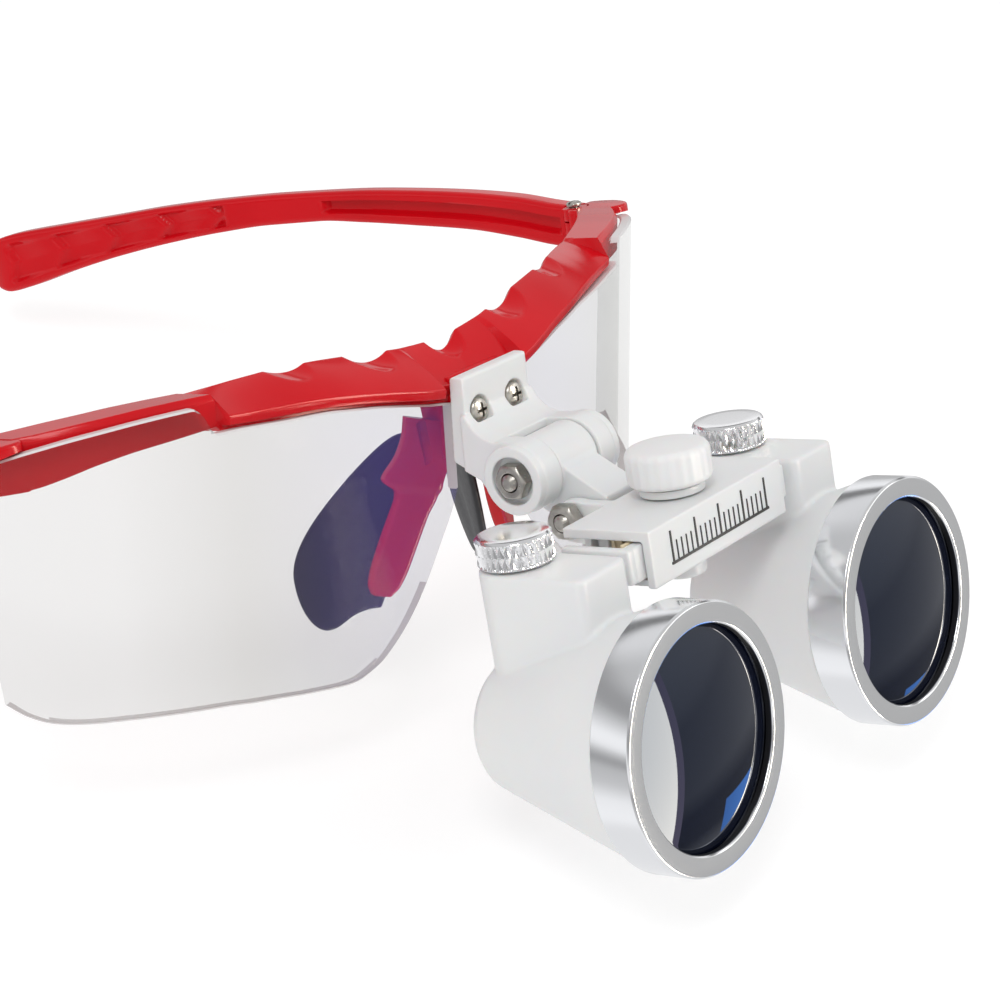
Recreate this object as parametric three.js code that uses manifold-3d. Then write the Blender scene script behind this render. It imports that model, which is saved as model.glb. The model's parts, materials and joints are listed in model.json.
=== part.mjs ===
// Flip-up dental loupes on a wrap-around sports frame, with a rack-and-pinion pupil distance adjuster.
// Millimetres. +X is the wearer's left, -Y is the front, +Z is up.
// The pieces are laid out in the loupes' own frame: X = 0 is the plane of symmetry, Y = 0 holds the two
// thumbscrew axes, and Z = 0 is the top of the thumbscrews. The whole is then pitched so that it stands
// on the front rings and the temple tips, as it does on a table.
import * as THREE from "three";
import { mergeVertices } from "three/addons/utils/BufferGeometryUtils.js";
import Module from "manifold-3d";

const wasm = await Module();
wasm.setup();

// ---- driving dimensions ----
const gap = 0.3; // between neighbours that touch
const pupilDistance = 56.1;
const axisX = pupilDistance / 2; // thumbscrew and barrel axis

const lens = { halfWidth: 78.5, sweep: 39.3, backY: 65.1, tilt: 8, flare: 0.1, thick: 2 };
const brow = { lipDrop: 1.4, below: 2.3 };
const hinge = { x: 72, y: 56.4, bottom: 17.8, top: 25.3, pinR: 0.7, knuckleR: 2.2 };
const temple = { outerX: 76.8, inset: 22.2 };

const flipAxis = { y: 13.2, z: 1.2 };
const tiltAxis = { y: 6.2, z: -5.4 };
const ear = { inner: 5, outer: 8.6, radius: 5.5 };
const cheek = { inner: 4.6, outer: 6.7, radius: 3.8 };
const link = { wideHalf: 4.7, slimHalf: 4.2, upperR: 5.2, lowerR: 3.5 };
const bolt = { radius: 1.25, headR: 2.5, headH: 1.9, nutAcross: 5, nutH: 2.1 };

const bar = { halfX: 17.6, frontY: -15.5, backY: -0.6, topZ: -2.9, plate: 1.5, bottomZ: -11.4, wall: 1.3 };
const pinion = { y: -8, teeth: 10, module: 0.5, toothWidth: 0.5, top: -5.3, bottom: -9.6 };
const rail = { top: -4.8, bottom: -9.9, farEnd: 12, rackDepth: 1.1 };
const railFront = { from: -13.9, to: -11.9 };
const railBack = { from: -4.1, to: -2.1 };
const knob = { radius: 6.36, bottom: -1.1, top: 4.7 };

const thumb = { radius: 5.67, height: 4.41, shankR: 1.5, shankEnd: -12.9 };
const neck = { halfX: 5.6, frontY: -15, top: -4.71, roofZ: -6.1, slotZ: -9.9, low: -22 };

const ring = { y: -28.4, z: -28.4, tilt: 1, radius: 19, bore: 15.8, band: 6.3 };
const cone = { frontR: 18.5, rearR: 9.3, length: 35, wall: 1.9 };

const colours = {
  red: { color: 0xc4060f, roughness: 0.18, metalness: 0 },
  white: { color: 0xe6e8e8, roughness: 0.42, metalness: 0 },
  ivory: { color: 0xd9c9a6, roughness: 0.5, metalness: 0 },
  black: { color: 0x17181a, roughness: 0.6, metalness: 0 },
  steel: { color: 0xb9bbbc, roughness: 0.25, metalness: 1 },
  chrome: { color: 0xdfe0e2, roughness: 0.12, metalness: 1 },
  aluminium: { color: 0xc9cccf, roughness: 0.3, metalness: 1 },
  clear: { color: 0xdfe6e6, roughness: 0.03, metalness: 0, transparent: true, opacity: 0.3 },
  glass: { color: 0x1b2440, roughness: 0.03, metalness: 0, transparent: true, opacity: 0.7 },
};

// ---- solids ----
// A closed geometry as a solid with its faces pointing out.
function solid(geometry) {
  const bare = geometry.index ? geometry.toNonIndexed() : geometry.clone();
  bare.deleteAttribute("normal");
  bare.deleteAttribute("uv");
  const merged = mergeVertices(bare, 1e-4);
  const triVerts = new Uint32Array(merged.index.array);
  const vertProperties = new Float32Array(merged.attributes.position.array);
  const made = new wasm.Manifold(new wasm.Mesh({ numProp: 3, vertProperties, triVerts }));
  if (made.volume() > 0) return made;
  for (let i = 0; i < triVerts.length; i += 3)
    [triVerts[i + 1], triVerts[i + 2]] = [triVerts[i + 2], triVerts[i + 1]];
  return new wasm.Manifold(new wasm.Mesh({ numProp: 3, vertProperties, triVerts }));
}

function geometryOf(body) {
  const { vertProperties, triVerts } = body.getMesh();
  const geometry = new THREE.BufferGeometry();
  geometry.setAttribute("position", new THREE.BufferAttribute(vertProperties, 3));
  geometry.setIndex(new THREE.BufferAttribute(triVerts, 1));
  return geometry;
}

const union = (first, ...others) => others.reduce((sum, next) => sum.add(next), first);
const cut = (first, ...others) => others.reduce((rest, next) => rest.subtract(next), first);

// The mirror image across the plane of symmetry, for a side of -1.
function onSide(body, side) {
  return side > 0 ? body : solid(geometryOf(body).toNonIndexed().scale(-1, 1, 1));
}

function outlineShape(points) {
  return new THREE.Shape(points.map(([u, v]) => new THREE.Vector2(u, v)));
}

// An outline in Y and Z, extruded along X.
function prismX(points, fromX, toX) {
  const shape = points instanceof THREE.Shape ? points : outlineShape(points);
  const options = { depth: toX - fromX, bevelEnabled: false, curveSegments: 6 };
  const turn = new THREE.Matrix4().makeBasis(
    new THREE.Vector3(0, 1, 0),
    new THREE.Vector3(0, 0, 1),
    new THREE.Vector3(1, 0, 0),
  );
  return solid(new THREE.ExtrudeGeometry(shape, options).applyMatrix4(turn).translate(fromX, 0, 0));
}

// An outline in X and Y, extruded along Z.
function prismZ(points, fromZ, toZ) {
  const shape = points instanceof THREE.Shape ? points : outlineShape(points);
  const options = { depth: toZ - fromZ, bevelEnabled: false, curveSegments: 6 };
  return solid(new THREE.ExtrudeGeometry(shape, options).translate(0, 0, fromZ));
}

function block(fromX, toX, fromY, toY, fromZ, toZ) {
  const geometry = new THREE.BoxGeometry(toX - fromX, toY - fromY, toZ - fromZ);
  return solid(geometry.translate((fromX + toX) / 2, (fromY + toY) / 2, (fromZ + toZ) / 2));
}

// A profile of [radius, height] pairs turned about an axis: "x", "y" or "z".
function turned(profile, axis, segments = 28) {
  const points = profile.map(([r, h]) => new THREE.Vector2(r, h));
  const geometry = new THREE.LatheGeometry(points, segments);
  if (axis === "z") geometry.rotateX(Math.PI / 2);
  if (axis === "x") geometry.rotateZ(-Math.PI / 2);
  return geometry;
}

function cylinderZ(radius, x, y, fromZ, toZ, segments = 20) {
  const profile = [[0, fromZ], [radius, fromZ], [radius, toZ], [0, toZ]];
  return solid(turned(profile, "z", segments).translate(x, y, 0));
}

function cylinderX(radius, y, z, fromX, toX, segments = 20) {
  const profile = [[0, fromX], [radius, fromX], [radius, toX], [0, toX]];
  return solid(turned(profile, "x", segments).translate(0, y, z));
}

function hexagon(across) {
  const radius = across / Math.sqrt(3);
  const corners = Array.from({ length: 6 }, (_, k) => (k * Math.PI) / 3);
  return corners.map((a) => [radius * Math.cos(a), radius * Math.sin(a)]);
}

// A closed skin over rings of points, all with the same number of points, and a flat cap on each end.
function skin(rings) {
  const count = rings[0].length;
  const positions = rings.flat().flatMap((p) => [p.x, p.y, p.z]);
  const index = [];
  for (let r = 0; r + 1 < rings.length; r++)
    for (let k = 0; k < count; k++) {
      const a = r * count + k;
      const b = r * count + ((k + 1) % count);
      index.push(a, b, b + count, a, b + count, a + count);
    }
  for (const r of [0, rings.length - 1]) {
    const ringPoints = rings[r];
    const u = ringPoints[1].clone().sub(ringPoints[0]).normalize();
    const across = ringPoints[(count / 2) | 0].clone().sub(ringPoints[0]);
    const v = across.sub(u.clone().multiplyScalar(across.dot(u))).normalize();
    const flat = ringPoints.map((p) => new THREE.Vector2(p.dot(u), p.dot(v)));
    const counterClockwise = THREE.ShapeUtils.area(flat) > 0;
    const ordered = counterClockwise ? flat : [...flat].reverse();
    const label = (k) => r * count + (counterClockwise ? k : count - 1 - k);
    for (const [a, b, c] of THREE.ShapeUtils.triangulateShape(ordered, [])) {
      const forward = counterClockwise === r > 0;
      index.push(label(a), label(forward ? b : c), label(forward ? c : b));
    }
  }
  const geometry = new THREE.BufferGeometry();
  geometry.setAttribute("position", new THREE.Float32BufferAttribute(positions, 3));
  geometry.setIndex(index);
  return solid(geometry);
}

// Straight-line interpolation in a list of [key, value, value, ...] rows.
function tableAt(rows, key) {
  const next = rows.findIndex((row) => row[0] >= key);
  if (next === 0) return rows[0].slice(1);
  if (next < 0) return rows[rows.length - 1].slice(1);
  const [low, high] = [rows[next - 1], rows[next]];
  const t = (key - low[0]) / (high[0] - low[0]);
  return low.slice(1).map((value, k) => value + (high[k + 1] - value) * t);
}

// ---- the wrap of the two lenses: an ellipse in plan, narrower and further back towards its lower edge ----
const lean = Math.tan(THREE.MathUtils.degToRad(lens.tilt));
const wrapAngle = (x) => Math.asin(x / lens.halfWidth);

// A point of the lens front at wrap angle t and height z, moved inwards from the front surface.
function onWrap(t, z, inwards = 0) {
  const half = lens.halfWidth + (z - 5) * lens.flare;
  const normal = new THREE.Vector2(-lens.sweep * Math.sin(t), half * Math.cos(t)).normalize();
  const x = half * Math.sin(t) + normal.x * inwards;
  const y = lens.backY - lens.sweep * Math.cos(t) + normal.y * inwards + (5 - z) * lean;
  return new THREE.Vector3(x, y, z);
}

// The Y of the surface that lies inwards of the lens front, at a given x and height.
function wrapFrontAt(x, z, inwards) {
  let t = wrapAngle(x);
  for (let k = 0; k < 6; k++) t += (x - onWrap(t, z, inwards).x) / (lens.halfWidth * Math.cos(t));
  return onWrap(t, z, inwards).y;
}

// ---- frame ----
// Visor stations: x, lip y, lip z, crest y, crest z. The crest rises and dips in soft scallops.
const visor = [
  [0, 25.3, 14.2, 31.2, 18.7],
  [4, 25.3, 14.4, 31, 20],
  [9.2, 25.3, 15, 31.2, 21.2],
  [9.9, 23, 15.1, 31.2, 21.4],
  [12.4, 23.2, 15.6, 31.3, 21.8],
  [16.5, 23.9, 16.6, 32.2, 21.1],
  [21, 24.8, 17.7, 32.3, 23.2],
  [28, 26.2, 19.2, 33.3, 24.2],
  [31.7, 27.2, 19.8, 34.2, 23.7],
  [34.5, 28, 20.2, 35.2, 24.8],
  [39, 29.4, 20.7, 37.4, 24.6],
  [43.3, 30.7, 21.2, 39.4, 24.6],
  [46.6, 31.5, 21.7, 40.6, 24.7],
];
// End piece stations: x, crest y, crest z, bottom z.
const endPiece = [
  [47.3, 40.8, 25, 20.2],
  [53, 43.4, 25.4, 20],
  [58, 46, 25.6, 19.8],
  [63, 49.2, 25.6, 19.2],
  [67, 52.2, 25.5, 18.3],
  [70, 54.6, 25.4, 17.7],
  [71.6, 55.8, 25.4, 17.6],
];
// The outer block that carries the hinge, seen from above.
const hingeBlock = [
  [68.6, 56], [68.6, 50], [72, 46], [75.6, 47], [77.4, 50.2], [77.7, 53.4], [77.2, 56.6], [72, 56.6],
];

function visorSection([x, lipY, lipZ, crestY, crestZ]) {
  const groove = Math.max(wrapFrontAt(x, lipZ - 2, lens.thick + gap), lipY + 1.2);
  const bottom = lipZ - brow.below;
  return [
    [lipY, lipZ],
    [lipY + 0.4, lipZ - brow.lipDrop],
    [groove, lipZ - brow.lipDrop],
    [groove + 0.3, bottom],
    [crestY + 1, bottom],
    [crestY + 1.4, crestZ - 1.4],
    [crestY, crestZ],
    [(crestY + lipY) / 2, (crestZ + lipZ) / 2 + 0.5],
  ].map(([y, z]) => new THREE.Vector3(x, y, z));
}

function endSection([x, crestY, crestZ, bottom]) {
  const face = (z) => wrapFrontAt(x, z, lens.thick + gap) + 0.15;
  return [
    [face(crestZ - 1), crestZ - 1],
    [face(crestZ - 2), crestZ - 2],
    [face(21), 21],
    [face(bottom), bottom],
    [crestY, bottom + 0.4],
    [crestY + 0.6, crestZ - 1.2],
    [crestY, crestZ],
    [face(crestZ) + 0.8, crestZ],
  ].map(([y, z]) => new THREE.Vector3(x, y, z));
}

function noseArm() {
  // Path: x, y, z, half width; a lug stands out above the narrow lower part.
  const path = [
    [7, 30.1, 9.6, 4],
    [7.4, 30.6, 6.8, 4.1],
    [8.2, 31.6, 3.7, 4.4],
    [10.2, 32.8, 0.4, 5],
    [9.3, 33.3, -1.9, 3.4],
    [10.6, 34.3, -4.7, 3],
    [12.2, 35.5, -8.1, 3],
    [14.2, 36.7, -12.1, 2.9],
    [15.6, 37.4, -14.7, 2.4],
    [16.2, 37.8, -16, 1.4],
  ];
  const rings = path.map(([x, y, z, half]) => {
    const wide = new THREE.Vector3(0.84, 0.42, 0.34).normalize().multiplyScalar(half);
    const deep = new THREE.Vector3(-0.45, 0.89, 0).multiplyScalar(1.3);
    const centre = new THREE.Vector3(x, y, z);
    const corner = (a, b) => centre.clone().addScaledVector(wide, a).addScaledVector(deep, b);
    return [corner(-1, -0.6), corner(-0.7, -1), corner(0.7, -1), corner(1, -0.6),
      corner(1, 0.6), corner(0.7, 1), corner(-0.7, 1), corner(-1, 0.6)];
  });
  return skin(rings);
}

function hingeFork() {
  const { x, y, bottom, top, knuckleR } = hinge;
  const web = [[x - 2, y - 4], [x + 2, y - 1.5], [x + 2, y - 0.4], [x + 1.6, y - 0.2], [x - 1.8, y]];
  const lobe = (from, to) => union(cylinderZ(knuckleR, x, y, from, to), prismZ(web, from, to));
  return union(lobe(bottom, bottom + 2.2), lobe(top - 2.2, top));
}

function browFrame() {
  const half = [...visor.map(visorSection), ...endPiece.map(endSection)];
  const otherHalf = half.slice(1).map((points) => points.map((p) => new THREE.Vector3(-p.x, p.y, p.z)));
  const bow = skin([...otherHalf.reverse(), ...half]);
  const post = prismX([[25.3, 16], [26.7, 3.4], [31.6, 2.2], [32.4, 16]], -6.3, 6.3);
  let body = union(bow, post);
  for (const side of [-1, 1]) {
    const { x, y, bottom, top, knuckleR, pinR } = hinge;
    const swing = cylinderZ(knuckleR + 0.5, x, y, bottom - 2, top + 2, 28);
    const outer = cut(prismZ(hingeBlock, bottom - 0.2, top), lensBody(gap, 12));
    body = cut(union(body, onSide(outer, side)), onSide(swing, side));
    body = union(body, onSide(hingeFork(), side), onSide(noseArm(), side));
    const pin = cylinderZ(pinR + gap, x, y, bottom - 2, top + 2, 16);
    body = cut(body, onSide(pin, side), onSide(bracketScrewHole(), side));
  }
  return body;
}

// ---- lenses ----
// Lens outline stations: x of the front surface, bottom z, top z.
const lensOutline = [
  [6.8, -1.5, 12.2],
  [8.4, -4.6, 12.6],
  [11.2, -8.6, 13.2],
  [16.4, -15.6, 14.6],
  [21.8, -20.8, 16],
  [26.5, -23.7, 17],
  [31, -24.8, 17.9],
  [38, -23.9, 18.7],
  [45, -22.6, 19.6],
  [48.4, -22, 19.9],
  [49.8, -21.7, 22.9],
  [51.2, -21.4, 24.3],
  [58, -20.3, 24.5],
  [65, -19.1, 24.3],
  [70, -18.2, 23.8],
  [73, -17.2, 23.2],
  [75, -15.6, 22.4],
  [76.4, -13.4, 21],
];

// The lens; with a margin it is the room that the lens takes, open to the front by a given depth.
function lensBody(margin = 0, openFront = 0) {
  const rings = lensOutline.map(([x, low, high]) => {
    const t = wrapAngle(x) + (margin * 4) / lens.halfWidth;
    const levels = [0, 0.25, 0.5, 0.75, 1].map((part) => low - margin + (high - low + 2 * margin) * part);
    const front = levels.map((z) => onWrap(t, z, -openFront));
    const back = levels.map((z) => onWrap(t, z, lens.thick + margin)).reverse();
    return [...front, ...back];
  });
  return skin(rings);
}

// ---- nose pads ----
// Outline in the pad's own plane, from its upper front corner: across towards the temple, then down.
function padShape() {
  const shape = new THREE.Shape();
  shape.moveTo(-3.2, -3);
  shape.bezierCurveTo(-2.6, 2.4, 1, 0.4, 7.8, -5);
  shape.bezierCurveTo(12.5, -9, 19, -14.5, 18.9, -19.8);
  shape.bezierCurveTo(18.9, -24.6, 17, -28.2, 14.6, -28);
  shape.bezierCurveTo(12, -27.8, 11.4, -25.4, 6.4, -25.7);
  shape.bezierCurveTo(3.6, -21, -3.4, -10, -3.2, -3);
  return shape;
}

function nosePad() {
  const options = { depth: 1.8, bevelEnabled: false, curveSegments: 5 };
  const across = new THREE.Vector3(0.6, 0.8, 0);
  const up = new THREE.Vector3(-0.16, 0.02, 0.98).normalize();
  const normal = new THREE.Vector3().crossVectors(across, up).normalize();
  const upright = new THREE.Vector3().crossVectors(normal, across);
  const place = new THREE.Matrix4().makeBasis(across, upright, normal).setPosition(6.2, 38.2, 6.4);
  return solid(new THREE.ExtrudeGeometry(padShape(), options).applyMatrix4(place));
}

// ---- temples ----
// Temple stations: y, top z, bottom z, half thickness.
const templeProfile = [
  [56.9, 25.2, 17.6, 2.2],
  [62, 26, 18.2, 2.2],
  [70, 27.6, 20, 2.2],
  [80, 28.9, 21.9, 2.1],
  [92, 30, 23.3, 2],
  [104, 30.8, 24.6, 1.9],
  [114, 31.1, 25.4, 1.8],
  [125, 31.3, 25.4, 1.8],
  [136, 31.2, 24.8, 1.9],
  [148, 30.8, 23.6, 2],
  [160, 30, 21.9, 2.1],
  [172, 29.2, 19.6, 2.1],
  [183, 28.4, 17.1, 2],
  [188, 27.6, 16.4, 1.8],
  [190.6, 26.4, 17, 1.4],
  [191.8, 24.6, 18.8, 1],
];

const templeX = (y) => temple.outerX - temple.inset * (Math.max(y - 55, 0) / 136) ** 1.5;

function templeBody() {
  const { x, y, bottom, top, knuckleR, pinR } = hinge;
  const rings = templeProfile.map(([at, high, low, half]) => {
    const outer = templeX(at);
    const round = Math.min(0.8, half * 0.6);
    return [
      [outer, low + round], [outer, high - round], [outer - round, high],
      [outer - 2 * half + round, high], [outer - 2 * half, high - round],
      [outer - 2 * half, low + round], [outer - 2 * half + round, low], [outer - round, low],
    ].map(([px, pz]) => new THREE.Vector3(px, at, pz));
  });
  const swing = cylinderZ(knuckleR + 0.5, x, y, bottom - 3, top + 3, 28);
  const pin = cylinderZ(pinR + gap, x, y, bottom - 3, top + 3, 16);
  const tongueZ = [bottom + 2.5, top - 2.5];
  const web = [[x, y + 0.6], [x + 1.9, y], [x + 3, y + 4], [x + 0.6, y + 4]];
  const tongue = union(cylinderZ(knuckleR, x, y, ...tongueZ), prismZ(web, ...tongueZ));
  return cut(union(cut(skin(rings), swing), tongue), pin);
}

// ---- bracket on the bridge, and the two-axis link ----
const screwHeight = 10.46;
const screwX = 4.36;

function alongFront(geometry, x, y, z) {
  return solid(geometry.translate(x, y, z));
}

function bracketScrewHole() {
  const profile = [[0, 0], [1.05, 0], [1.05, 9], [0, 9]];
  return alongFront(turned(profile, "y", 12), screwX, 23, screwHeight);
}

function bracketScrew() {
  const profile = [[0, 0], [0.9, 0], [1.75, 0.45], [1.95, 0.9], [1.95, 1.4], [0.75, 1.4], [0.75, 7.6], [0, 8.2]];
  return alongFront(turned(profile, "y", 16), screwX, 21.3, screwHeight);
}

function bracketBody() {
  const plate = [
    [23.8, 16.4], [21.4, 16.3], [21.9, 10.5], [20.6, 8], [19.1, 7], [19.1, -1.6], [20.6, 0.6], [25.7, 3.2],
  ];
  const arm = new THREE.Shape();
  arm.moveTo(22.6, 10.6);
  arm.lineTo(21.7, 10.6);
  arm.quadraticCurveTo(20.4, 7.2, 17, 6.6);
  arm.lineTo(flipAxis.y, flipAxis.z + ear.radius);
  arm.absarc(flipAxis.y, flipAxis.z, ear.radius, Math.PI / 2, (3 * Math.PI) / 2, false);
  arm.quadraticCurveTo(18.5, -3, 20.6, 0.6);
  arm.lineTo(23.4, 2);
  const saddle = new THREE.Shape();
  saddle.moveTo(22.6, 10.6);
  saddle.lineTo(21.7, 10.6);
  saddle.quadraticCurveTo(20.4, 7.2, 17, 6.6);
  saddle.lineTo(17, 2);
  saddle.lineTo(20, 2);
  const linkRoom = cylinderX(link.upperR + 0.4, flipAxis.y, flipAxis.z, -8.5, 8.5, 28);
  let body = union(prismX(plate, -8, 8), cut(prismX(saddle, -ear.inner, ear.inner), linkRoom));
  const recess = [[0, 0], [2.3, 0], [2.3, 1.9], [1.1, 1.9], [1.1, 6], [0, 6]];
  for (const side of [-1, 1]) {
    const ends = (inner, outer) => (side > 0 ? [inner, outer] : [-outer, -inner]);
    const collar = cut(
      cylinderX(5.3, flipAxis.y, flipAxis.z, ...ends(7, 10.3), 28),
      cylinderX(3.7, flipAxis.y, flipAxis.z, ...ends(ear.outer, 12), 28),
    );
    body = union(body, prismX(arm, ...ends(ear.inner, ear.outer)), collar);
    body = cut(body, alongFront(turned(recess, "y", 20), side * screwX, 21, screwHeight));
  }
  return cut(body, cylinderX(bolt.radius + gap, flipAxis.y, flipAxis.z, -10, 10, 16));
}

function linkBody() {
  const upper = cylinderX(link.upperR, flipAxis.y, flipAxis.z, -link.wideHalf, link.wideHalf, 28);
  const lower = cylinderX(link.lowerR, tiltAxis.y, tiltAxis.z, -link.slimHalf, link.slimHalf, 24);
  const web = [[9.5, 4.6], [7.6, 1.4], [0.9, -2.6], [0.9, -3.3], [3.6, -6.2], [9.2, -7.4], [15.4, -3.4]];
  return cut(
    union(upper, lower, prismX(web, -link.slimHalf, link.slimHalf)),
    cylinderX(bolt.radius + gap, flipAxis.y, flipAxis.z, -10, 10, 16),
    cylinderX(bolt.radius + gap, tiltAxis.y, tiltAxis.z, -10, 10, 16),
  );
}

// A bolt along X with its head on the wearer's left and its threaded end standing out of the nut.
function boltBody(axis, halfGrip) {
  const shank = cylinderX(bolt.radius, axis.y, axis.z, -halfGrip - bolt.nutH - 0.9, halfGrip + gap + 0.5, 16);
  const head = cylinderX(bolt.headR, axis.y, axis.z, halfGrip + gap, halfGrip + gap + bolt.headH, 20);
  const socket = prismX(hexagon(2).map(([u, v]) => [axis.y + u, axis.z + v]),
    halfGrip + gap + 0.8, halfGrip + gap + bolt.headH + 1);
  return cut(union(shank, head), socket);
}

function nutBody(axis, halfGrip) {
  const outline = hexagon(bolt.nutAcross).map(([u, v]) => [axis.y + u, axis.z + v]);
  const nut = prismX(outline, -halfGrip - gap - bolt.nutH, -halfGrip - gap);
  return cut(nut, cylinderX(bolt.radius + gap, axis.y, axis.z, -20, 0, 16));
}

// ---- crossbar with the pupil distance adjuster ----
function housingBody() {
  const { halfX, frontY, backY, topZ, plate, bottomZ, wall } = bar;
  const top = block(-halfX, halfX, frontY, backY, topZ - plate, topZ);
  const front = block(-halfX, halfX, frontY, frontY + wall, bottomZ, topZ);
  const back = block(-13, 13, backY - wall + 0.1, backY, -10, topZ);
  const cheekShape = new THREE.Shape();
  cheekShape.moveTo(backY - 0.5, topZ);
  cheekShape.lineTo(tiltAxis.y - 2.6, topZ);
  cheekShape.quadraticCurveTo(tiltAxis.y + 2, tiltAxis.z + 3.6, tiltAxis.y + cheek.radius, tiltAxis.z);
  cheekShape.quadraticCurveTo(tiltAxis.y + 3, tiltAxis.z - 3.8, tiltAxis.y, tiltAxis.z - cheek.radius);
  cheekShape.lineTo(backY - 0.5, -9.6);
  let body = union(top, front, back);
  for (const side of [-1, 1]) {
    const [from, to] = side > 0 ? [cheek.inner, cheek.outer] : [-cheek.outer, -cheek.inner];
    body = union(body, prismX(cheekShape, from, to));
  }
  return cut(
    body,
    cylinderX(bolt.radius + gap, tiltAxis.y, tiltAxis.z, -10, 10, 16),
    cylinderZ(1.5 + gap, 0, pinion.y, -20, 5, 16),
  );
}

function coverBody() {
  const plate = block(-16.8, 16.8, bar.frontY + bar.wall + gap, bar.backY - bar.wall - gap, -11.3, -10.3);
  const boss = cylinderZ(3.4, 0, pinion.y, -15.4, -10.6, 24);
  return cut(union(plate, boss), cylinderZ(1.5 + gap, 0, pinion.y, -14.4, -5, 16));
}

function knobBody() {
  const { radius, bottom, top } = knob;
  const profile = [[0, bottom], [radius - 0.5, bottom], [radius, bottom + 0.6], [radius, top - 1.1],
    [radius - 0.7, top - 0.3], [0, top]];
  const body = solid(turned(profile, "z", 32).translate(0, pinion.y, 0));
  return cut(body, cylinderZ(1.5 + gap, 0, pinion.y, bottom - 1, 2.3, 16));
}

function knobWasher() {
  return cut(cylinderZ(4.9, 0, pinion.y, -2.55, -1.45, 32), cylinderZ(1.5 + gap, 0, pinion.y, -4, 0, 16));
}

const pitchR = (pinion.module * pinion.teeth) / 2;

function pinionBody() {
  const root = pitchR - 0.6;
  const tip = pitchR + 0.42;
  const points = [];
  for (let k = 0; k < pinion.teeth; k++) {
    const middle = (2 * Math.PI * k) / pinion.teeth;
    const foot = pinion.toothWidth * 0.72 / root;
    const crown = (pinion.toothWidth * 0.3) / tip;
    for (const [r, a] of [[root, -foot], [tip, -crown], [tip, crown], [root, foot]])
      points.push([r * Math.cos(middle + a), pinion.y + r * Math.sin(middle + a)]);
  }
  return union(
    prismZ(points, pinion.bottom, pinion.top),
    cylinderZ(1.5, 0, pinion.y, -14, 2, 16),
  );
}

// A slide arm: an eye under the thumbscrew, a shoulder, and a rail inside the crossbar.
function armBody(side, span) {
  const eyeZ = [neck.slotZ + gap, neck.roofZ - gap];
  const eye = union(
    cylinderZ(4.1, axisX, 0, ...eyeZ, 24),
    block(20.4, axisX, -4.1, 4.1, ...eyeZ),
  );
  const shoulder = block(19, 20.8, railFront.from, railBack.to, rail.bottom, rail.top);
  const run = block(-rail.farEnd, 19.5, span.from, span.to, rail.bottom, rail.top);
  const body = cut(union(eye, shoulder, run), cylinderZ(thumb.shankR + gap, axisX, 0, -20, 0, 16));
  return onSide(body, side);
}

// A rack beside its rail: towards = +1 when its teeth face the back.
function rackBody(side, towards) {
  const pitch = Math.PI * pinion.module;
  const base = pinion.y - towards * (pitchR + 0.62 + rail.rackDepth * 0.55);
  const foot = pinion.y - towards * (pitchR + 0.62);
  const crown = pinion.y - towards * (pitchR - 0.38);
  const points = [];
  const count = 17;
  const startX = -rail.farEnd + 0.4;
  for (let k = 0; k < count; k++) {
    const middle = (k - 7) * pitch;
    points.push([middle - 0.36, foot], [middle - 0.16, crown], [middle + 0.16, crown], [middle + 0.36, foot]);
  }
  const endX = 18.6;
  const outline = [[startX, foot], ...points.filter(([x]) => x > startX + 0.2), [endX, foot], [endX, base],
    [startX, base]];
  return onSide(prismZ(outline, rail.bottom + 0.4, rail.top + 0.1), side);
}

// ---- thumbscrews ----
function thumbScrew() {
  const { radius, height, shankR, shankEnd } = thumb;
  const profile = [[0, shankEnd], [shankR, shankEnd + 0.3], [shankR, -height], [radius - 0.4, -height],
    [radius, -height + 0.4], [radius, -0.5], [radius - 0.5, 0], [0, 0]];
  return solid(turned(profile, "z", 32));
}

function thumbNut() {
  return cut(prismZ(hexagon(5), -12.1, neck.slotZ - 0.1), cylinderZ(thumb.shankR + gap, 0, 0, -20, 0, 16));
}

// ---- barrels ----
// The barrel's own axis: h = 0 at the front face of its ring, growing towards the eye.
function onBarrel(geometry) {
  geometry.rotateX(-THREE.MathUtils.degToRad(ring.tilt));
  return geometry.translate(0, ring.y, ring.z);
}

const barrelTurned = (profile, segments) => solid(onBarrel(turned(profile, "y", segments)));

function barrelShell() {
  const { frontR, rearR, length, wall } = cone;
  const start = ring.band + 0.25;
  const outer = barrelTurned([[0, start], [frontR, start], [rearR + 0.6, length - 2],
    [rearR - 0.6, length - 0.6], [rearR - 1.6, length], [0, length]], 40);
  const inner = barrelTurned([[0, start - 2], [frontR - wall, start - 2], [frontR - wall, start],
    [7.6, 26.5], [7.6, length + 2], [0, length + 2]], 32);
  const plan = new THREE.Shape();
  plan.moveTo(-neck.halfX, 0);
  plan.absarc(0, 0, neck.halfX, Math.PI, 0, true);
  plan.lineTo(neck.halfX, neck.frontY + 0.8);
  plan.lineTo(neck.halfX - 0.8, neck.frontY);
  plan.lineTo(-neck.halfX + 0.8, neck.frontY);
  plan.lineTo(-neck.halfX, neck.frontY + 0.8);
  const block3 = prismZ(plan, neck.low, neck.top);
  const bevel = prismX([[neck.frontY - 1, neck.top - 1.3], [neck.frontY + 1.3, neck.top + 1],
    [neck.frontY - 1, neck.top + 1]], -8, 8);
  const slot = union(
    block(-neck.halfX - 1, 0, -4.9, 4.9, neck.slotZ, neck.roofZ),
    cylinderZ(4.5, 0, 0, neck.slotZ, neck.roofZ, 24),
  );
  const nutSeat = prismZ(hexagon(5.7), -13.4, neck.slotZ + 0.1);
  const hole = cylinderZ(thumb.shankR + gap, 0, 0, -13.6, 0, 16);
  return cut(union(outer, cut(block3, bevel)), inner, slot, nutSeat, hole);
}

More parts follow.
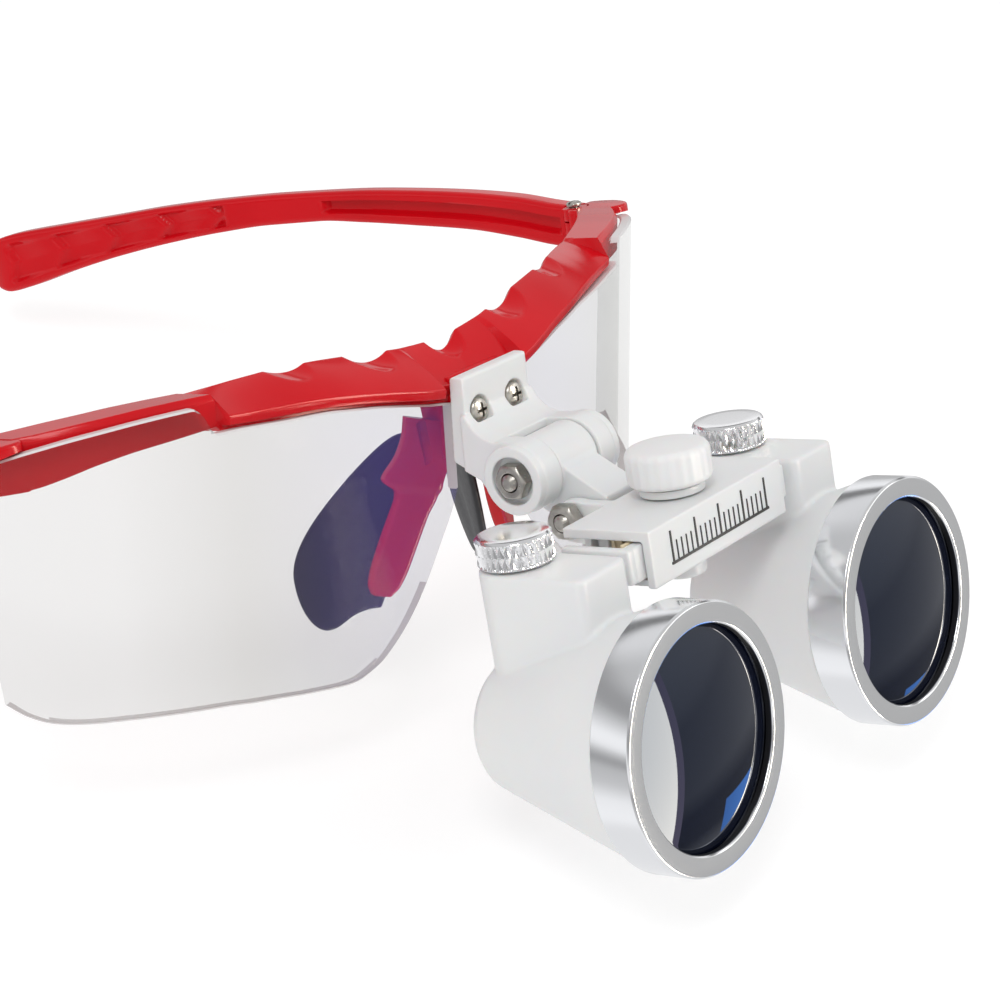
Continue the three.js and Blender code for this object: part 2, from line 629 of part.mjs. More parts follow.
function bezelRing() {
  const { radius, bore, band } = ring;
  return barrelTurned([[bore, 0.25], [bore + 0.25, 0], [radius - 0.3, 0], [radius, 0.3], [radius, band],
    [16.9, band], [16.9, 1.3], [bore, 1.3], [bore, 0.25]], 48);
}

function arcProfile(edgeR, edgeH, sag, steps) {
  return Array.from({ length: steps + 1 }, (_, k) => {
    const r = edgeR * Math.sin((Math.PI / 2) * (k / steps));
    return [r, edgeH - sag * (1 - (r / edgeR) ** 2)];
  });
}

function objectiveLens() {
  const front = arcProfile(15.45, 1.45, 2, 6);
  return barrelTurned([...front, [16.4, 1.75], [16.4, 5.9], [0, 6.1]], 36);
}

function objectiveSpacer() {
  return barrelTurned([[14.4, 6.6], [15.9, 6.6], [15.2, 8.6], [14, 8.6], [14.4, 6.6]], 32);
}

function eyepieceLens() {
  return barrelTurned([[0, 28.6], [5, 27.7], [7.2, 27.4], [7.2, 30.2], [5, 29.9], [0, 29.3]], 24);
}

function eyepieceRing() {
  return barrelTurned([[5.9, 30.6], [7.3, 30.6], [7.3, 34.7], [6.3, 34.7], [5.9, 34.1], [5.9, 30.6]], 24);
}

// ---- assembly ----
const assembly = new THREE.Group();

function piece(name, body, finish, position = [0, 0, 0]) {
  const mesh = new THREE.Mesh(geometryOf(body), new THREE.MeshStandardMaterial(colours[finish]));
  mesh.name = name;
  mesh.position.set(...position);
  assembly.add(mesh);
}

piece("brow_frame", browFrame(), "red");
piece("bracket", bracketBody(), "white");
piece("flip_link", linkBody(), "white");
piece("flip_bolt", boltBody(flipAxis, ear.outer), "steel");
piece("flip_nut", nutBody(flipAxis, ear.outer), "steel");
piece("tilt_bolt", boltBody(tiltAxis, cheek.outer), "steel");
piece("tilt_nut", nutBody(tiltAxis, cheek.outer), "steel");
piece("crossbar_housing", housingBody(), "white");
piece("crossbar_cover", coverBody(), "white");
piece("adjust_knob", knobBody(), "white");
piece("knob_washer", knobWasher(), "white");
piece("pinion_shaft", pinionBody(), "steel");

for (const [label, side] of [["right", -1], ["left", 1]]) {
  const span = side < 0 ? railFront : railBack;
  const axis = [side * axisX, 0, 0];
  piece(`lens_${label}`, onSide(lensBody(), side), "clear");
  piece(`nose_pad_${label}`, onSide(nosePad(), side), "black");
  piece(`temple_${label}`, onSide(templeBody(), side), "red");
  const pinProfile = [[0, hinge.bottom - 0.4], [hinge.pinR, hinge.bottom - 0.4], [hinge.pinR, hinge.top + gap],
    [1.4, hinge.top + gap], [1.4, hinge.top + 0.9], [0, hinge.top + 1.1]];
  piece(`temple_screw_${label}`, solid(turned(pinProfile, "z", 16)), "steel", [side * hinge.x, hinge.y, 0]);
  piece(`bracket_screw_${label}`, onSide(bracketScrew(), side), "steel");
  piece(`slide_arm_${label}`, armBody(side, span), "white");
  piece(`rack_${label}`, rackBody(side, -side), "ivory");
  piece(`thumbscrew_${label}`, thumbScrew(), "chrome", axis);
  piece(`thumb_nut_${label}`, thumbNut(), "steel", axis);
  piece(`barrel_${label}`, onSide(barrelShell(), side), "white", axis);
  piece(`bezel_${label}`, bezelRing(), "aluminium", axis);
  piece(`objective_${label}`, objectiveLens(), "glass", axis);
  piece(`objective_spacer_${label}`, objectiveSpacer(), "black", axis);
  piece(`eyepiece_${label}`, eyepieceLens(), "glass", axis);
  piece(`eyepiece_ring_${label}`, eyepieceRing(), "black", axis);
}

// ---- resting pose: rings and temple tips on the same level surface ----
const lowest = (names) => {
  const meshes = assembly.children.filter((mesh) => names.some((name) => mesh.name.startsWith(name)));
  return Math.min(...meshes.map((mesh) => new THREE.Box3().setFromObject(mesh, true).min.z));
};

const pitched = new THREE.Group();
pitched.add(assembly);
let [low, high] = [0, Math.PI / 6];
for (let k = 0; k < 40; k++) {
  assembly.rotation.x = -(low + high) / 2;
  pitched.updateMatrixWorld(true);
  if (lowest(["bezel"]) < lowest(["temple"])) low = (low + high) / 2;
  else high = (low + high) / 2;
}

const box = new THREE.Box3().setFromObject(pitched, true);
const middle = box.getCenter(new THREE.Vector3());
assembly.position.set(-middle.x, -middle.y, -box.min.z);

export default pitched;
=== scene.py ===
import json
import math
from bisect import bisect_right

import bmesh
import bpy
from mathutils import Matrix, Vector


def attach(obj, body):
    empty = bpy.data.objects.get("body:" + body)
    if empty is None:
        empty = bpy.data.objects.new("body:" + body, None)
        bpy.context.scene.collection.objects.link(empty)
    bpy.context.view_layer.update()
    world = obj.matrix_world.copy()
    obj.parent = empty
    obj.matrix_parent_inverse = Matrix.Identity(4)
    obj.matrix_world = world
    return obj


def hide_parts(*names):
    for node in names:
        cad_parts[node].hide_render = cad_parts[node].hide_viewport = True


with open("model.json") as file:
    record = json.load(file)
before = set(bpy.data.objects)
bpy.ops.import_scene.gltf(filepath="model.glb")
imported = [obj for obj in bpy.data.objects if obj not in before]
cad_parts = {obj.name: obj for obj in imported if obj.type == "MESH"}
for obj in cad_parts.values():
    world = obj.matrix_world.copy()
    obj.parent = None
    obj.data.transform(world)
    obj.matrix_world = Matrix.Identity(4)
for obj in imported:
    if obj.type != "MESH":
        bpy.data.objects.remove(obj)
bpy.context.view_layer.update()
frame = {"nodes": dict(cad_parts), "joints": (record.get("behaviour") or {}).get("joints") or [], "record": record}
nodes = frame["nodes"]
joints = {joint["name"]: joint for joint in frame["joints"]}
SIDES = {"right": -1, "left": 1}
MM = 0.001


def axes(x, y, z):
    """The rotation that turns X, Y and Z into the given directions."""
    return Matrix((x, y, z)).transposed().to_4x4()


# ---- the loupes' own frame: X towards the wearer's left, -Y the front, Z along the thumbscrews ----
def loupes_frame():
    screws = [Vector(joints[f"thumbscrew_{side}_turn"]["pos_m"]) for side in SIDES]
    up = Vector(joints["thumbscrew_left_turn"]["axis"]).normalized()
    across = Vector((1, 0, 0))
    back = up.cross(across).normalized()
    return Matrix.Translation((screws[0] + screws[1]) / 2) @ axes(across, back, up)


LOUPES = loupes_frame()
AXIS_X = abs(joints["thumbscrew_left_turn"]["pos_m"][0]) / MM
ORIGIN = (0, 0, 0)

# ---- driving dimensions, in millimetres, in the loupes' own frame ----
LENS = {"half_width": 78.5, "sweep": 39.3, "back_y": 65.1, "lean": math.tan(math.radians(8)), "flare": 0.1,
        "thick": 2.0, "clear": 0.3}
HINGE = {"x": 72.0, "y": 56.4, "low": 17.8, "high": 25.3, "knuckle": 2.2, "pin": 0.7}
FLIP = {"y": 13.2, "z": 1.2, "grip": 8.6}
TILT = {"y": 6.2, "z": -5.4, "grip": 6.7}
FLIP_AT = (0, FLIP["y"], FLIP["z"])
TILT_AT = (0, TILT["y"], TILT["z"])
BAR = {"x": 17.6, "front": -15.5, "back": -0.6, "high": -2.9, "low": -11.4, "plate": 1.5, "wall": 1.3}
PINION_AT = (0, -8.0, 0)
BORES = {"pivot": 1.55, "shaft": 1.8, "screw": 1.8}
THUMB = {"radius": 5.67, "height": 4.41, "shank": 1.5, "end": -12.9}
NECK = {"x": 5.6, "front": -15.0, "high": -4.71, "roof": -6.1, "slot": -9.9, "low": -22.0}
RING = {"y": -28.4, "z": -28.4, "tilt": math.radians(1), "radius": 19.0, "bore": 15.8, "band": 6.3}
CONE = {"front": 18.5, "rear": 9.3, "length": 35.0, "wall": 1.9}


def linked(name, data):
    """A new object in the scene."""
    thing = bpy.data.objects.new(name, data)
    bpy.context.scene.collection.objects.link(thing)
    return thing


def make_camera():
    """A camera placed in the loupes' frame, ahead of their right side, with a little roll."""
    azimuth, elevation, roll = math.radians(-50.09), math.radians(15.19), math.radians(-9.66)
    distance, aside, above = 385.58, -18.47, -4.18
    back = Vector((math.sin(azimuth) * math.cos(elevation),
                   -math.cos(azimuth) * math.cos(elevation), math.sin(elevation)))
    level_right = (-back).cross(Vector((0, 0, 1))).normalized()
    level_up = level_right.cross(-back)
    right = level_right * math.cos(roll) + level_up * math.sin(roll)
    up = level_up * math.cos(roll) - level_right * math.sin(roll)
    place = (back * distance + right * aside + up * above) * MM
    data = bpy.data.cameras.new("camera")
    data.sensor_width = 36
    data.lens = 94.1
    data.clip_start = 0.01
    camera = linked("camera", data)
    camera.matrix_world = LOUPES @ Matrix.Translation(place) @ axes(right, up, back)
    bpy.context.scene.camera = camera


# ---- materials ----
def shader(name, colour, roughness, metallic=0.0, **sockets):
    material = bpy.data.materials.new(name)
    material.use_nodes = True
    bsdf = material.node_tree.nodes["Principled BSDF"]
    bsdf.inputs["Base Color"].default_value = (*colour, 1)
    bsdf.inputs["Roughness"].default_value = roughness
    bsdf.inputs["Metallic"].default_value = metallic
    for key, value in sockets.items():
        bsdf.inputs[key.replace("_", " ")].default_value = value
    return material


def node(material, kind, **values):
    """A new shader node; a value whose name is an input's, with _ for a space, sets that input."""
    made = material.node_tree.nodes.new(kind)
    for key, value in values.items():
        socket = key.replace("_", " ")
        if socket in made.inputs:
            made.inputs[socket].default_value = value
        else:
            setattr(made, key, value)
    return made


def join(material, source, output, target, socket):
    """Links two nodes; output and socket are names or indices."""
    material.node_tree.links.new(source.outputs[output], target.inputs[socket])


def set_stops(ramp, stops):
    """Sets a colour ramp's stops from (position, colour) pairs."""
    elements = ramp.color_ramp.elements
    for _ in stops[2:]:
        elements.new(1)
    for element, (position, colour) in zip(elements, stops):
        element.position = position
        element.color = (*colour, 1)


def noise_field(material, scale, detail):
    place = node(material, "ShaderNodeTexCoord")
    noise = node(material, "ShaderNodeTexNoise", Scale=scale, Detail=detail)
    join(material, place, "Object", noise, "Vector")
    return noise


BUMP_DEPTH = 0.00005


def grained(name, colour, roughness, bump, scale, fine=None, metallic=0.0, **sockets):
    """Gloss that varies finely between two roughnesses, over a fine moulded or cast texture."""
    material = shader(name, colour, roughness[0], metallic, **sockets)
    bsdf = material.node_tree.nodes["Principled BSDF"]
    spread = node(material, "ShaderNodeMapRange", To_Min=roughness[0], To_Max=roughness[1])
    join(material, noise_field(material, scale, 4.0), "Fac", spread, "Value")
    join(material, spread, "Result", bsdf, "Roughness")
    relief = node(material, "ShaderNodeBump", Strength=bump, Distance=BUMP_DEPTH)
    join(material, noise_field(material, fine or scale * 3, 3.0), "Fac", relief, "Height")
    join(material, relief, "Normal", bsdf, "Normal")
    return material


def drifting(material, scale, other):
    """Slow drift from the base colour to a near one, as moulded plastic and plating show."""
    bsdf = material.node_tree.nodes["Principled BSDF"]
    ramp = node(material, "ShaderNodeValToRGB")
    set_stops(ramp, [(0.3, bsdf.inputs["Base Color"].default_value[:3]), (0.7, other)])
    join(material, noise_field(material, scale, 3.0), "Fac", ramp, "Fac")
    join(material, ramp, "Color", bsdf, "Base Color")


# The clear lens from the nose outwards: position, the colour of a painted reflection, the pane's tint.
LENS_REFLECTION_AND_TINT = [
    (0, (0.31, 0.26, 1.0), (0.905, 0.91, 0.875)),
    (0.5, (0.22, 0.20, 0.20), (0.91, 0.913, 0.907)),
    (0.85, (0.15, 0.15, 0.15), (0.975, 0.977, 0.975)),
]
PAINTED_REFLECTION_SPAN = (0.022, 0.070)


def lens_with_painted_reflection(name, share):
    """A clear pane mixed with a share of a painted reflection: a blue reflection painted by the nose, neutral
    further out, where the pane is also paler.
    """
    material = shader(name, (0.3, 0.3, 0.3), 0.03, IOR=1.5, Specular_IOR_Level=0.12)
    painted_reflection_shader = material.node_tree.nodes["Principled BSDF"]
    pane = node(material, "ShaderNodeBsdfTransparent")
    mix = node(material, "ShaderNodeMixShader", Fac=share)
    join(material, pane, "BSDF", mix, 1)
    join(material, painted_reflection_shader, "BSDF", mix, 2)
    join(material, mix, "Shader", material.node_tree.nodes["Material Output"], "Surface")
    place = node(material, "ShaderNodeTexCoord")
    parts = node(material, "ShaderNodeSeparateXYZ")
    join(material, place, "Object", parts, "Vector")
    size = node(material, "ShaderNodeMath", operation="ABSOLUTE")
    join(material, parts, "X", size, 0)
    span = node(material, "ShaderNodeMapRange", From_Min=PAINTED_REFLECTION_SPAN[0], From_Max=PAINTED_REFLECTION_SPAN[1])
    join(material, size, "Value", span, "Value")
    # The ramps paint the reflection's colour into the mixed shader's base colour, and set the pane's tint, by
    # distance from the nose.
    for target, socket, column in ((painted_reflection_shader, "Base Color", 1), (pane, "Color", 2)):
        ramp = node(material, "ShaderNodeValToRGB")
        set_stops(ramp, [(row[0], row[column]) for row in LENS_REFLECTION_AND_TINT])
        join(material, span, "Result", ramp, "Fac")
        join(material, ramp, "Color", target, socket)
    return material


def make_materials():
    soft = {"Subsurface_Weight": 0.15, "Subsurface_Scale": 0.001}
    made = {
        "red": grained("red_plastic", (0.53, 0.0025, 0.007), (0.13, 0.19), 0.03, 900, 5200, IOR=1.5,
                       Specular_IOR_Level=0.24, Coat_Weight=0.03, Coat_Roughness=0.05),
        "white": grained("white_nylon", (0.715, 0.725, 0.735), (0.36, 0.46), 0.1, 1400, 6000, IOR=1.5,
                         **soft),
        "knob": grained("white_knob", (0.76, 0.76, 0.76), (0.42, 0.55), 0.12, 1400, 6500, **soft),
        "ivory": grained("ivory_acetal", (0.78, 0.66, 0.44), (0.35, 0.5), 0.1, 1500),
        "ink": grained("black_ink", (0.008, 0.008, 0.009), (0.35, 0.5), 0.1, 1500),
        "black": grained("black_anodised", (0.008, 0.008, 0.01), (0.4, 0.55), 0.15, 1500),
        "rubber": grained("black_rubber", (0.014, 0.014, 0.017), (0.42, 0.6), 0.2, 1200, 7000),
        "steel": grained("nickel_steel", (0.38, 0.36, 0.33), (0.22, 0.4), 0.08, 1800, metallic=1),
        # Dark steel that paints shade into the screw heads' cross recesses.
        "recess": grained("painted_shade_steel", (0.10, 0.095, 0.085), (0.4, 0.6), 0.1, 2500, metallic=0.8),
        "chrome": grained("bright_chrome", (0.9, 0.9, 0.91), (0.08, 0.16), 0.03, 1500, metallic=1),
        "aluminium": grained("turned_aluminium", (0.86, 0.87, 0.89), (0.12, 0.18), 0.03, 2500, metallic=1),
        "satin": grained("satin_aluminium", (0.80, 0.81, 0.82), (0.14, 0.19), 0.02, 2500, metallic=1),
        "clear": lens_with_painted_reflection("clear_lens", 0.08),
        "rim": grained("lens_edge", (0.66, 0.64, 0.64), (0.2, 0.3), 0.05, 2500, IOR=1.5),
        "glass": shader("coated_glass", (0.004, 0.006, 0.016), 0.02, IOR=1.5, Specular_IOR_Level=0.5,
                        Specular_Tint=(0.68, 0.8, 1.0, 1.0)),
        "floor": shader("pale_floor", (0.5, 0.5, 0.5), 0.6, Emission_Color=(1, 1, 1, 1),
                        Emission_Strength=0.55),
    }
    drifting(made["white"], 60, (0.745, 0.75, 0.745))
    drifting(made["steel"], 700, (0.58, 0.56, 0.51))
    drifting(made["red"], 50, (0.59, 0.0035, 0.009))
    return made


MATERIALS = make_materials()


# ---- building kit: everything is made in millimetres and scaled when it is placed ----
def smooth_table(rows):
    """Monotone cubic interpolation of rows of (key, value, value, ...)."""
    keys = [row[0] for row in rows]
    columns = list(zip(*rows))[1:]
    slopes = []
    for column in columns:
        rises = [(column[k + 1] - column[k]) / (keys[k + 1] - keys[k]) for k in range(len(keys) - 1)]
        inner = [0 if a * b <= 0 else 2 * a * b / (a + b) for a, b in zip(rises, rises[1:])]
        slopes.append([rises[0], *inner, rises[-1]])

    def at(key):
        key = min(max(key, keys[0]), keys[-1])
        k = min(bisect_right(keys, key) - 1, len(keys) - 2)
        h = keys[k + 1] - keys[k]
        t = (key - keys[k]) / h
        return [column[k] * (1 + 2 * t) * (1 - t) ** 2 + slope[k] * h * t * (1 - t) ** 2
                + column[k + 1] * t * t * (3 - 2 * t) + slope[k + 1] * h * t * t * (t - 1)
                for column, slope in zip(columns, slopes)]

    return at


def spaced(low, high, count):
    """Evenly spaced values, both ends among them."""
    return [low + (high - low) * k / (count - 1) for k in range(count)]


def ramp_step(low, high, value):
    """A smooth step from 0 at low to 1 at high."""
    t = min(max((value - low) / (high - low), 0), 1)
    return t * t * (3 - 2 * t)


def rounded(points, radius, steps=4):
    """A closed outline with its corners rounded; a corner of radius 0 stays one point."""
    corners = [Vector(p) for p in points]
    radii = radius if isinstance(radius, list) else [radius] * len(corners)
    outline = []
    for k, corner in enumerate(corners):
        if radii[k] == 0:
            outline.append(corner)
            continue
        before = corners[k - 1] - corner
        after = corners[(k + 1) % len(corners)] - corner
        start = corner + before.normalized() * min(radii[k], before.length * 0.45)
        end = corner + after.normalized() * min(radii[k], after.length * 0.45)
        for step in range(steps + 1):
            t = step / steps
            outline.append(start * (1 - t) ** 2 + corner * (2 * t * (1 - t)) + end * t ** 2)
    return outline


def arc(y, z, radius, start, end, steps):
    turns = [math.radians(start + (end - start) * k / steps) for k in range(steps + 1)]
    return [(y + radius * math.cos(a), z + radius * math.sin(a)) for a in turns]


def curve(start, bend, end):
    """The points of a quadratic curve, without its first one."""
    a, b, c = Vector(start), Vector(bend), Vector(end)
    ts = [k / 12 for k in range(1, 13)]
    return [tuple(a * (1 - t) ** 2 + b * (2 * t * (1 - t)) + c * t * t) for t in ts]


def solid(name, points, faces):
    """A closed mesh object with its faces pointing out."""
    mesh = bpy.data.meshes.new(name)
    mesh.from_pydata([tuple(p) for p in points], [], faces)
    work = bmesh.new()
    work.from_mesh(mesh)
    bmesh.ops.remove_doubles(work, verts=work.verts, dist=1e-4)
    bmesh.ops.recalc_face_normals(work, faces=work.faces)
    work.to_mesh(mesh)
    work.free()
    return linked(name, mesh)


def skin_faces(rows, count, bands):
    """Quads between each row of count points and the next, round to the first row if bands equals rows."""
    starts = [(row * count, (row + 1) % rows * count) for row in range(bands)]
    return [(here + k, here + (k + 1) % count, there + (k + 1) % count, there + k)
            for here, there in starts for k in range(count)]


def loft(name, rings):
    """A skin through closed rings of equally many points, with both ends capped."""
    count = len(rings[0])
    points = [p for ring in rings for p in ring]
    faces = skin_faces(len(rings), count, len(rings) - 1)
    faces += [tuple(range(count))[::-1], tuple(range(len(points) - count, len(points)))]
    return solid(name, points, faces)


def prism(name, outline, low, high, axis="z", bevel=0.0):
    """An outline extruded along X (its points are y, z), Y (x, z) or Z (x, y)."""
    places = {"x": lambda u, v, w: (w, u, v), "y": lambda u, v, w: (u, w, v), "z": lambda u, v, w: (u, v, w)}
    place = places[axis]
    thing = loft(name, [[place(p[0], p[1], w) for p in outline] for w in (low, high)])
    return bevelled(thing, bevel) if bevel else thing


def hexagon(radius, centre=(0, 0)):
    turns = [k * math.pi / 3 for k in range(6)]
    return [(centre[0] + radius * math.cos(turn), centre[1] + radius * math.sin(turn)) for turn in turns]


def block(name, x, y, z, bevel=0.0):
    return prism(name, [(x[0], y[0]), (x[1], y[0]), (x[1], y[1]), (x[0], y[1])], z[0], z[1], "z", bevel)


def turned(name, profile, axis, at, radius, segments=96, wave=None):
    """A closed profile of (radius, height) corners turned about an axis; wave(angle, r) alters the radius."""
    outline = rounded(profile, [0 if p[0] == 0 else radius for p in profile]) if radius else profile
    places = {"x": lambda a, b, h: (h, a, b), "y": lambda a, b, h: (b, h, a), "z": lambda a, b, h: (a, b, h)}
    place = places[axis]
    points = []
    for r, h in outline:
        for k in range(segments):
            angle = 2 * math.pi * k / segments
            reach = wave(angle, r) if wave else r
            spot = place(reach * math.cos(angle), reach * math.sin(angle), h)
            points.append(Vector(spot) + Vector(at))
    count = len(outline)
    open_ended = outline[0][0] == 0 and outline[-1][0] == 0
    return solid(name, points, skin_faces(count, segments, count - 1 if open_ended else count))


def rod(name, radius, axis, at, low, high, segments=64):
    return turned(name, [(0, low), (radius, low), (radius, high), (0, high)], axis, at, 0, segments)


def pivot_bore(at):
    return rod("bore", BORES["pivot"], "x", at, -10, 10)


def bake(thing):
    """Applies the object's modifiers."""
    bpy.context.view_layer.update()
    made = bpy.data.meshes.new_from_object(thing.evaluated_get(bpy.context.evaluated_depsgraph_get()))
    thing.modifiers.clear()
    old = thing.data
    thing.data = made
    bpy.data.meshes.remove(old)
    return thing


def combine(first, others, operation="UNION"):
    for other in others:
        step = first.modifiers.new("combine", "BOOLEAN")
        step.operation = operation
        step.solver = "EXACT"
        step.object = other
    bake(first)
    for other in others:
        mesh = other.data
        bpy.data.objects.remove(other)
        bpy.data.meshes.remove(mesh)
    return first


def cut(first, *others):
    return combine(first, others, "DIFFERENCE")


def bevelled(thing, width, segments=3):
    step = thing.modifiers.new("bevel", "BEVEL")
    step.width = width
    step.segments = segments
    step.limit_method = "ANGLE"
    step.angle_limit = math.radians(40)
    return bake(thing)


def moulded(thing, voxel):
    """Turns a union of solids into one soft-edged moulding, with small fillets inside and out."""
    skin = thing.modifiers.new("skin", "REMESH")
    skin.mode = "VOXEL"
    skin.voxel_size = voxel
    soft = thing.modifiers.new("soft", "SMOOTH")
    soft.factor = 0.5
    soft.iterations = 4
    return bake(thing)


def mirrored(thing, side):
    """The mirror image across X = 0 for a side of -1."""
    if side < 0:
        thing.data.transform(Matrix.Scale(-1, 4, (1, 0, 0)))
        thing.data.flip_normals()
    return thing


def painted(thing, names, choose):
    """Gives a piece several materials; choose(polygon) says which of them a polygon has."""
    for name in names:
        thing.data.materials.append(MATERIALS[name])
    for polygon in thing.data.polygons:
        polygon.material_index = choose(polygon)


def settled(thing, material, matrix=LOUPES):
    """Scales a piece to metres and puts it in the loupes' frame."""
    thing.data.transform(Matrix.Scale(MM, 4))
    thing.matrix_world = matrix
    if material:
        thing.data.materials.clear()
        thing.data.materials.append(MATERIALS[material])


def placed(thing, material, body, replaced, matrix=LOUPES, angle=35):
    """Settles a piece, smooths its shading up to an angle, parents it to its body and hides the CAD parts it
    replaces.
    """
    thing.data.validate()
    settled(thing, material, matrix)
    thing.data.shade_smooth()
    thing.data.set_sharp_from_angle(angle=math.radians(angle))
    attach(thing, body)
    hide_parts(*replaced)
    return thing


def shifted(side, x, y=0.0, z=0.0):
    return LOUPES @ Matrix.Translation(Vector((side * x, y, z)) * MM)


# ---- the wrap of the two lenses: an ellipse in plan ----
def wrap_angle(x):
    return math.asin(x / LENS["half_width"])


def on_wrap(turn, z, inwards):
    """A point on the lens's front surface, or some way behind it."""
    half = LENS["half_width"] + (z - 5) * LENS["flare"]
    normal = Vector((-LENS["sweep"] * math.sin(turn), half * math.cos(turn))).normalized()
    x = half * math.sin(turn) + normal.x * inwards
    y = LENS["back_y"] - LENS["sweep"] * math.cos(turn) + normal.y * inwards + (5 - z) * LENS["lean"]
    return Vector((x, y, z))


def wrap_front_at(x, z, inwards):
    """The y of that surface at a given x."""
    turn = wrap_angle(x)
    for _ in range(6):
        turn += (x - on_wrap(turn, z, inwards).x) / (LENS["half_width"] * math.cos(turn))
    return on_wrap(turn, z, inwards).y


# Lens outline: x of the front surface, bottom z, top z.
LENS_OUTLINE = [
    (6.8, -1.5, 12.2), (8.4, -4.6, 12.6), (11.2, -8.6, 13.2), (16.4, -15.6, 14.6), (21.8, -20.8, 16),
    (26.5, -23.7, 17), (31, -24.8, 17.9), (38, -23.9, 18.7), (45, -22.6, 19.6), (48.4, -22, 19.9),
    (49.8, -21.7, 22.9), (51.2, -21.4, 24.3), (58, -20.3, 24.5), (65, -19.1, 24.3), (70, -18.2, 23.8),
    (73, -17.2, 23.2), (75, -15.6, 22.4), (76.4, -13.4, 21),
]


def lens_rings(margin=0.0, open_front=0.0, stations=170, levels=24, edge=0.3):
    """A lens's sections from the nose outwards, or, with a margin and an open front, the room it needs."""
    outline = smooth_table(LENS_OUTLINE)
    rings = []
    for x in spaced(LENS_OUTLINE[0][0], LENS_OUTLINE[-1][0], stations):
        low, high = outline(x)
        turn = wrap_angle(x) + margin * 4 / LENS["half_width"]
        low, high = low - margin, high + margin
        face = spaced(low + edge, high - edge, levels)
        back = LENS["thick"] + margin
        ring = [on_wrap(turn, z, -open_front) for z in face]
        ring += [on_wrap(turn, high, edge - open_front), on_wrap(turn, high, back - edge)]
        ring += [on_wrap(turn, z, back) for z in reversed(face)]
        ring += [on_wrap(turn, low, back - edge), on_wrap(turn, low, edge - open_front)]
        rings.append(ring)
    return rings


def make_lens(label, side):
    def rim_or_face(polygon):
        inner_end = len(polygon.vertices) > 4 and polygon.center.x < 20
        return 1 if inner_end or abs(polygon.normal.z) > 0.6 else 0

    thing = loft(f"lens_shell_{label}", lens_rings())
    painted(thing, ("clear", "rim"), rim_or_face)
    placed(mirrored(thing, side), None, "front", [f"lens_{label}"], angle=30)


# ---- brow frame ----
# Visor: x, lip y, lip z, crest y, crest z without the scoops.
VISOR = [
    (0, 25.3, 14.2, 31.1, 20.6), (4, 25.3, 14.4, 31.1, 20.9), (9.2, 25.3, 15, 31.2, 21.4),
    (9.9, 23, 15.1, 31.2, 21.5), (12.4, 23.2, 15.6, 31.4, 21.9), (16.5, 23.9, 16.6, 32, 22.6),
    (21, 24.8, 17.7, 32.5, 23.3), (28, 26.2, 19.2, 33.4, 24.3), (34.5, 28, 20.2, 35.3, 24.85),
    (39, 29.4, 20.7, 37.4, 24.8), (43.3, 30.7, 21.2, 39.4, 24.7), (46.6, 31.5, 21.7, 40.6, 24.7),
]
# Scoops bitten out of the crest: x, half width, depth.
SCOOPS = [(0, 3.9, 1.9), (16.6, 4.3, 1.4), (31.5, 3.3, 0.85)]
# End piece: x, crest y, crest z, bottom z.
END_PIECE = [
    (47.3, 40.8, 25, 20.2), (53, 43.4, 25.4, 20), (58, 46, 25.6, 19.8), (63, 49.2, 25.6, 19.2),
    (67, 52.2, 25.5, 18.3), (70, 54.6, 25.4, 17.7), (71.6, 55.8, 25.4, 17.6),
]
HINGE_BLOCK = [
    (68.6, 56), (68.6, 50), (72, 46), (75.6, 47), (77.4, 50.2), (77.7, 53.4), (77.2, 56.6), (72, 56.6),
]
# The bar's top surface has this many points between crest and lip, which stay unrounded.
TOP_POINTS = 20
BOW_RADII = [0.35] + [0] * TOP_POINTS + [0.4, 0.2, 0.3, 0.3, 0.6, 0.8]
LIP_DROP, VISOR_DEPTH, VISOR_CROWN = 1.4, 2.3, 2.2
LENS_SEAT = LENS["thick"] + LENS["clear"]


def scoop_depth(x, across):
    """How far the top surface is hollowed; across runs from 0 at the crest to 1 at the lip."""
    bites = [depth * (1 - ((abs(x) - centre) / half) ** 2 - (across / 0.55) ** 2)
             for centre, half, depth in SCOOPS]
    return max(0, *bites)


def visor_section(x, table):
    lip_y, lip_z, crest_y, crest_z = table(x)
    under, bottom = lip_z - LIP_DROP, lip_z - VISOR_DEPTH
    groove = max(wrap_front_at(x, lip_z - 2, LENS_SEAT), lip_y + 1.2)
    points = [(crest_y, crest_z - scoop_depth(x, 0))]
    for k in range(1, TOP_POINTS + 1):
        across = k / (TOP_POINTS + 1)
        crown = VISOR_CROWN * across * (1 - across)
        z = crest_z + (lip_z - crest_z) * across + crown - scoop_depth(x, across)
        points.append((crest_y + (lip_y - crest_y) * across, z))
    back = crest_z - 1.4 - scoop_depth(x, 0)
    points += [(lip_y, lip_z), (lip_y + 0.4, under), (groove, under), (groove + 0.3, bottom),
               (crest_y + 1, bottom), (crest_y + 1.4, back)]
    return [Vector((x, p[0], p[1])) for p in rounded(points, BOW_RADII)]


def end_section(x, table):
    crest_y, crest_z, bottom = table(x)

    def face(z):
        return wrap_front_at(x, z, LENS_SEAT) + 0.15

    front = face(crest_z) + 0.8
    points = [(y, crest_z) for y in spaced(crest_y, front, TOP_POINTS + 2)]
    points += [(face(crest_z - 1), crest_z - 1), (face(21), 21), (face(bottom), bottom),
               (crest_y, bottom + 0.4), (crest_y + 0.6, crest_z - 1.2)]
    return [Vector((x, p[0], p[1])) for p in rounded(points, BOW_RADII)]


# Nose arm path from its root to its tip: x, y, z, half width.
NOSE_ARM = [
    (7, 30.1, 9.6, 4), (7.4, 30.6, 6.8, 4.1), (8.2, 31.6, 3.7, 4.4), (10.2, 32.8, 0.4, 5),
    (9.3, 33.3, -1.9, 3.4), (10.6, 34.3, -4.7, 3), (12.2, 35.5, -8.1, 3), (14.2, 36.7, -12.1, 2.9),
    (15.6, 37.4, -14.7, 2.4), (16.2, 37.8, -16, 1.4),
]


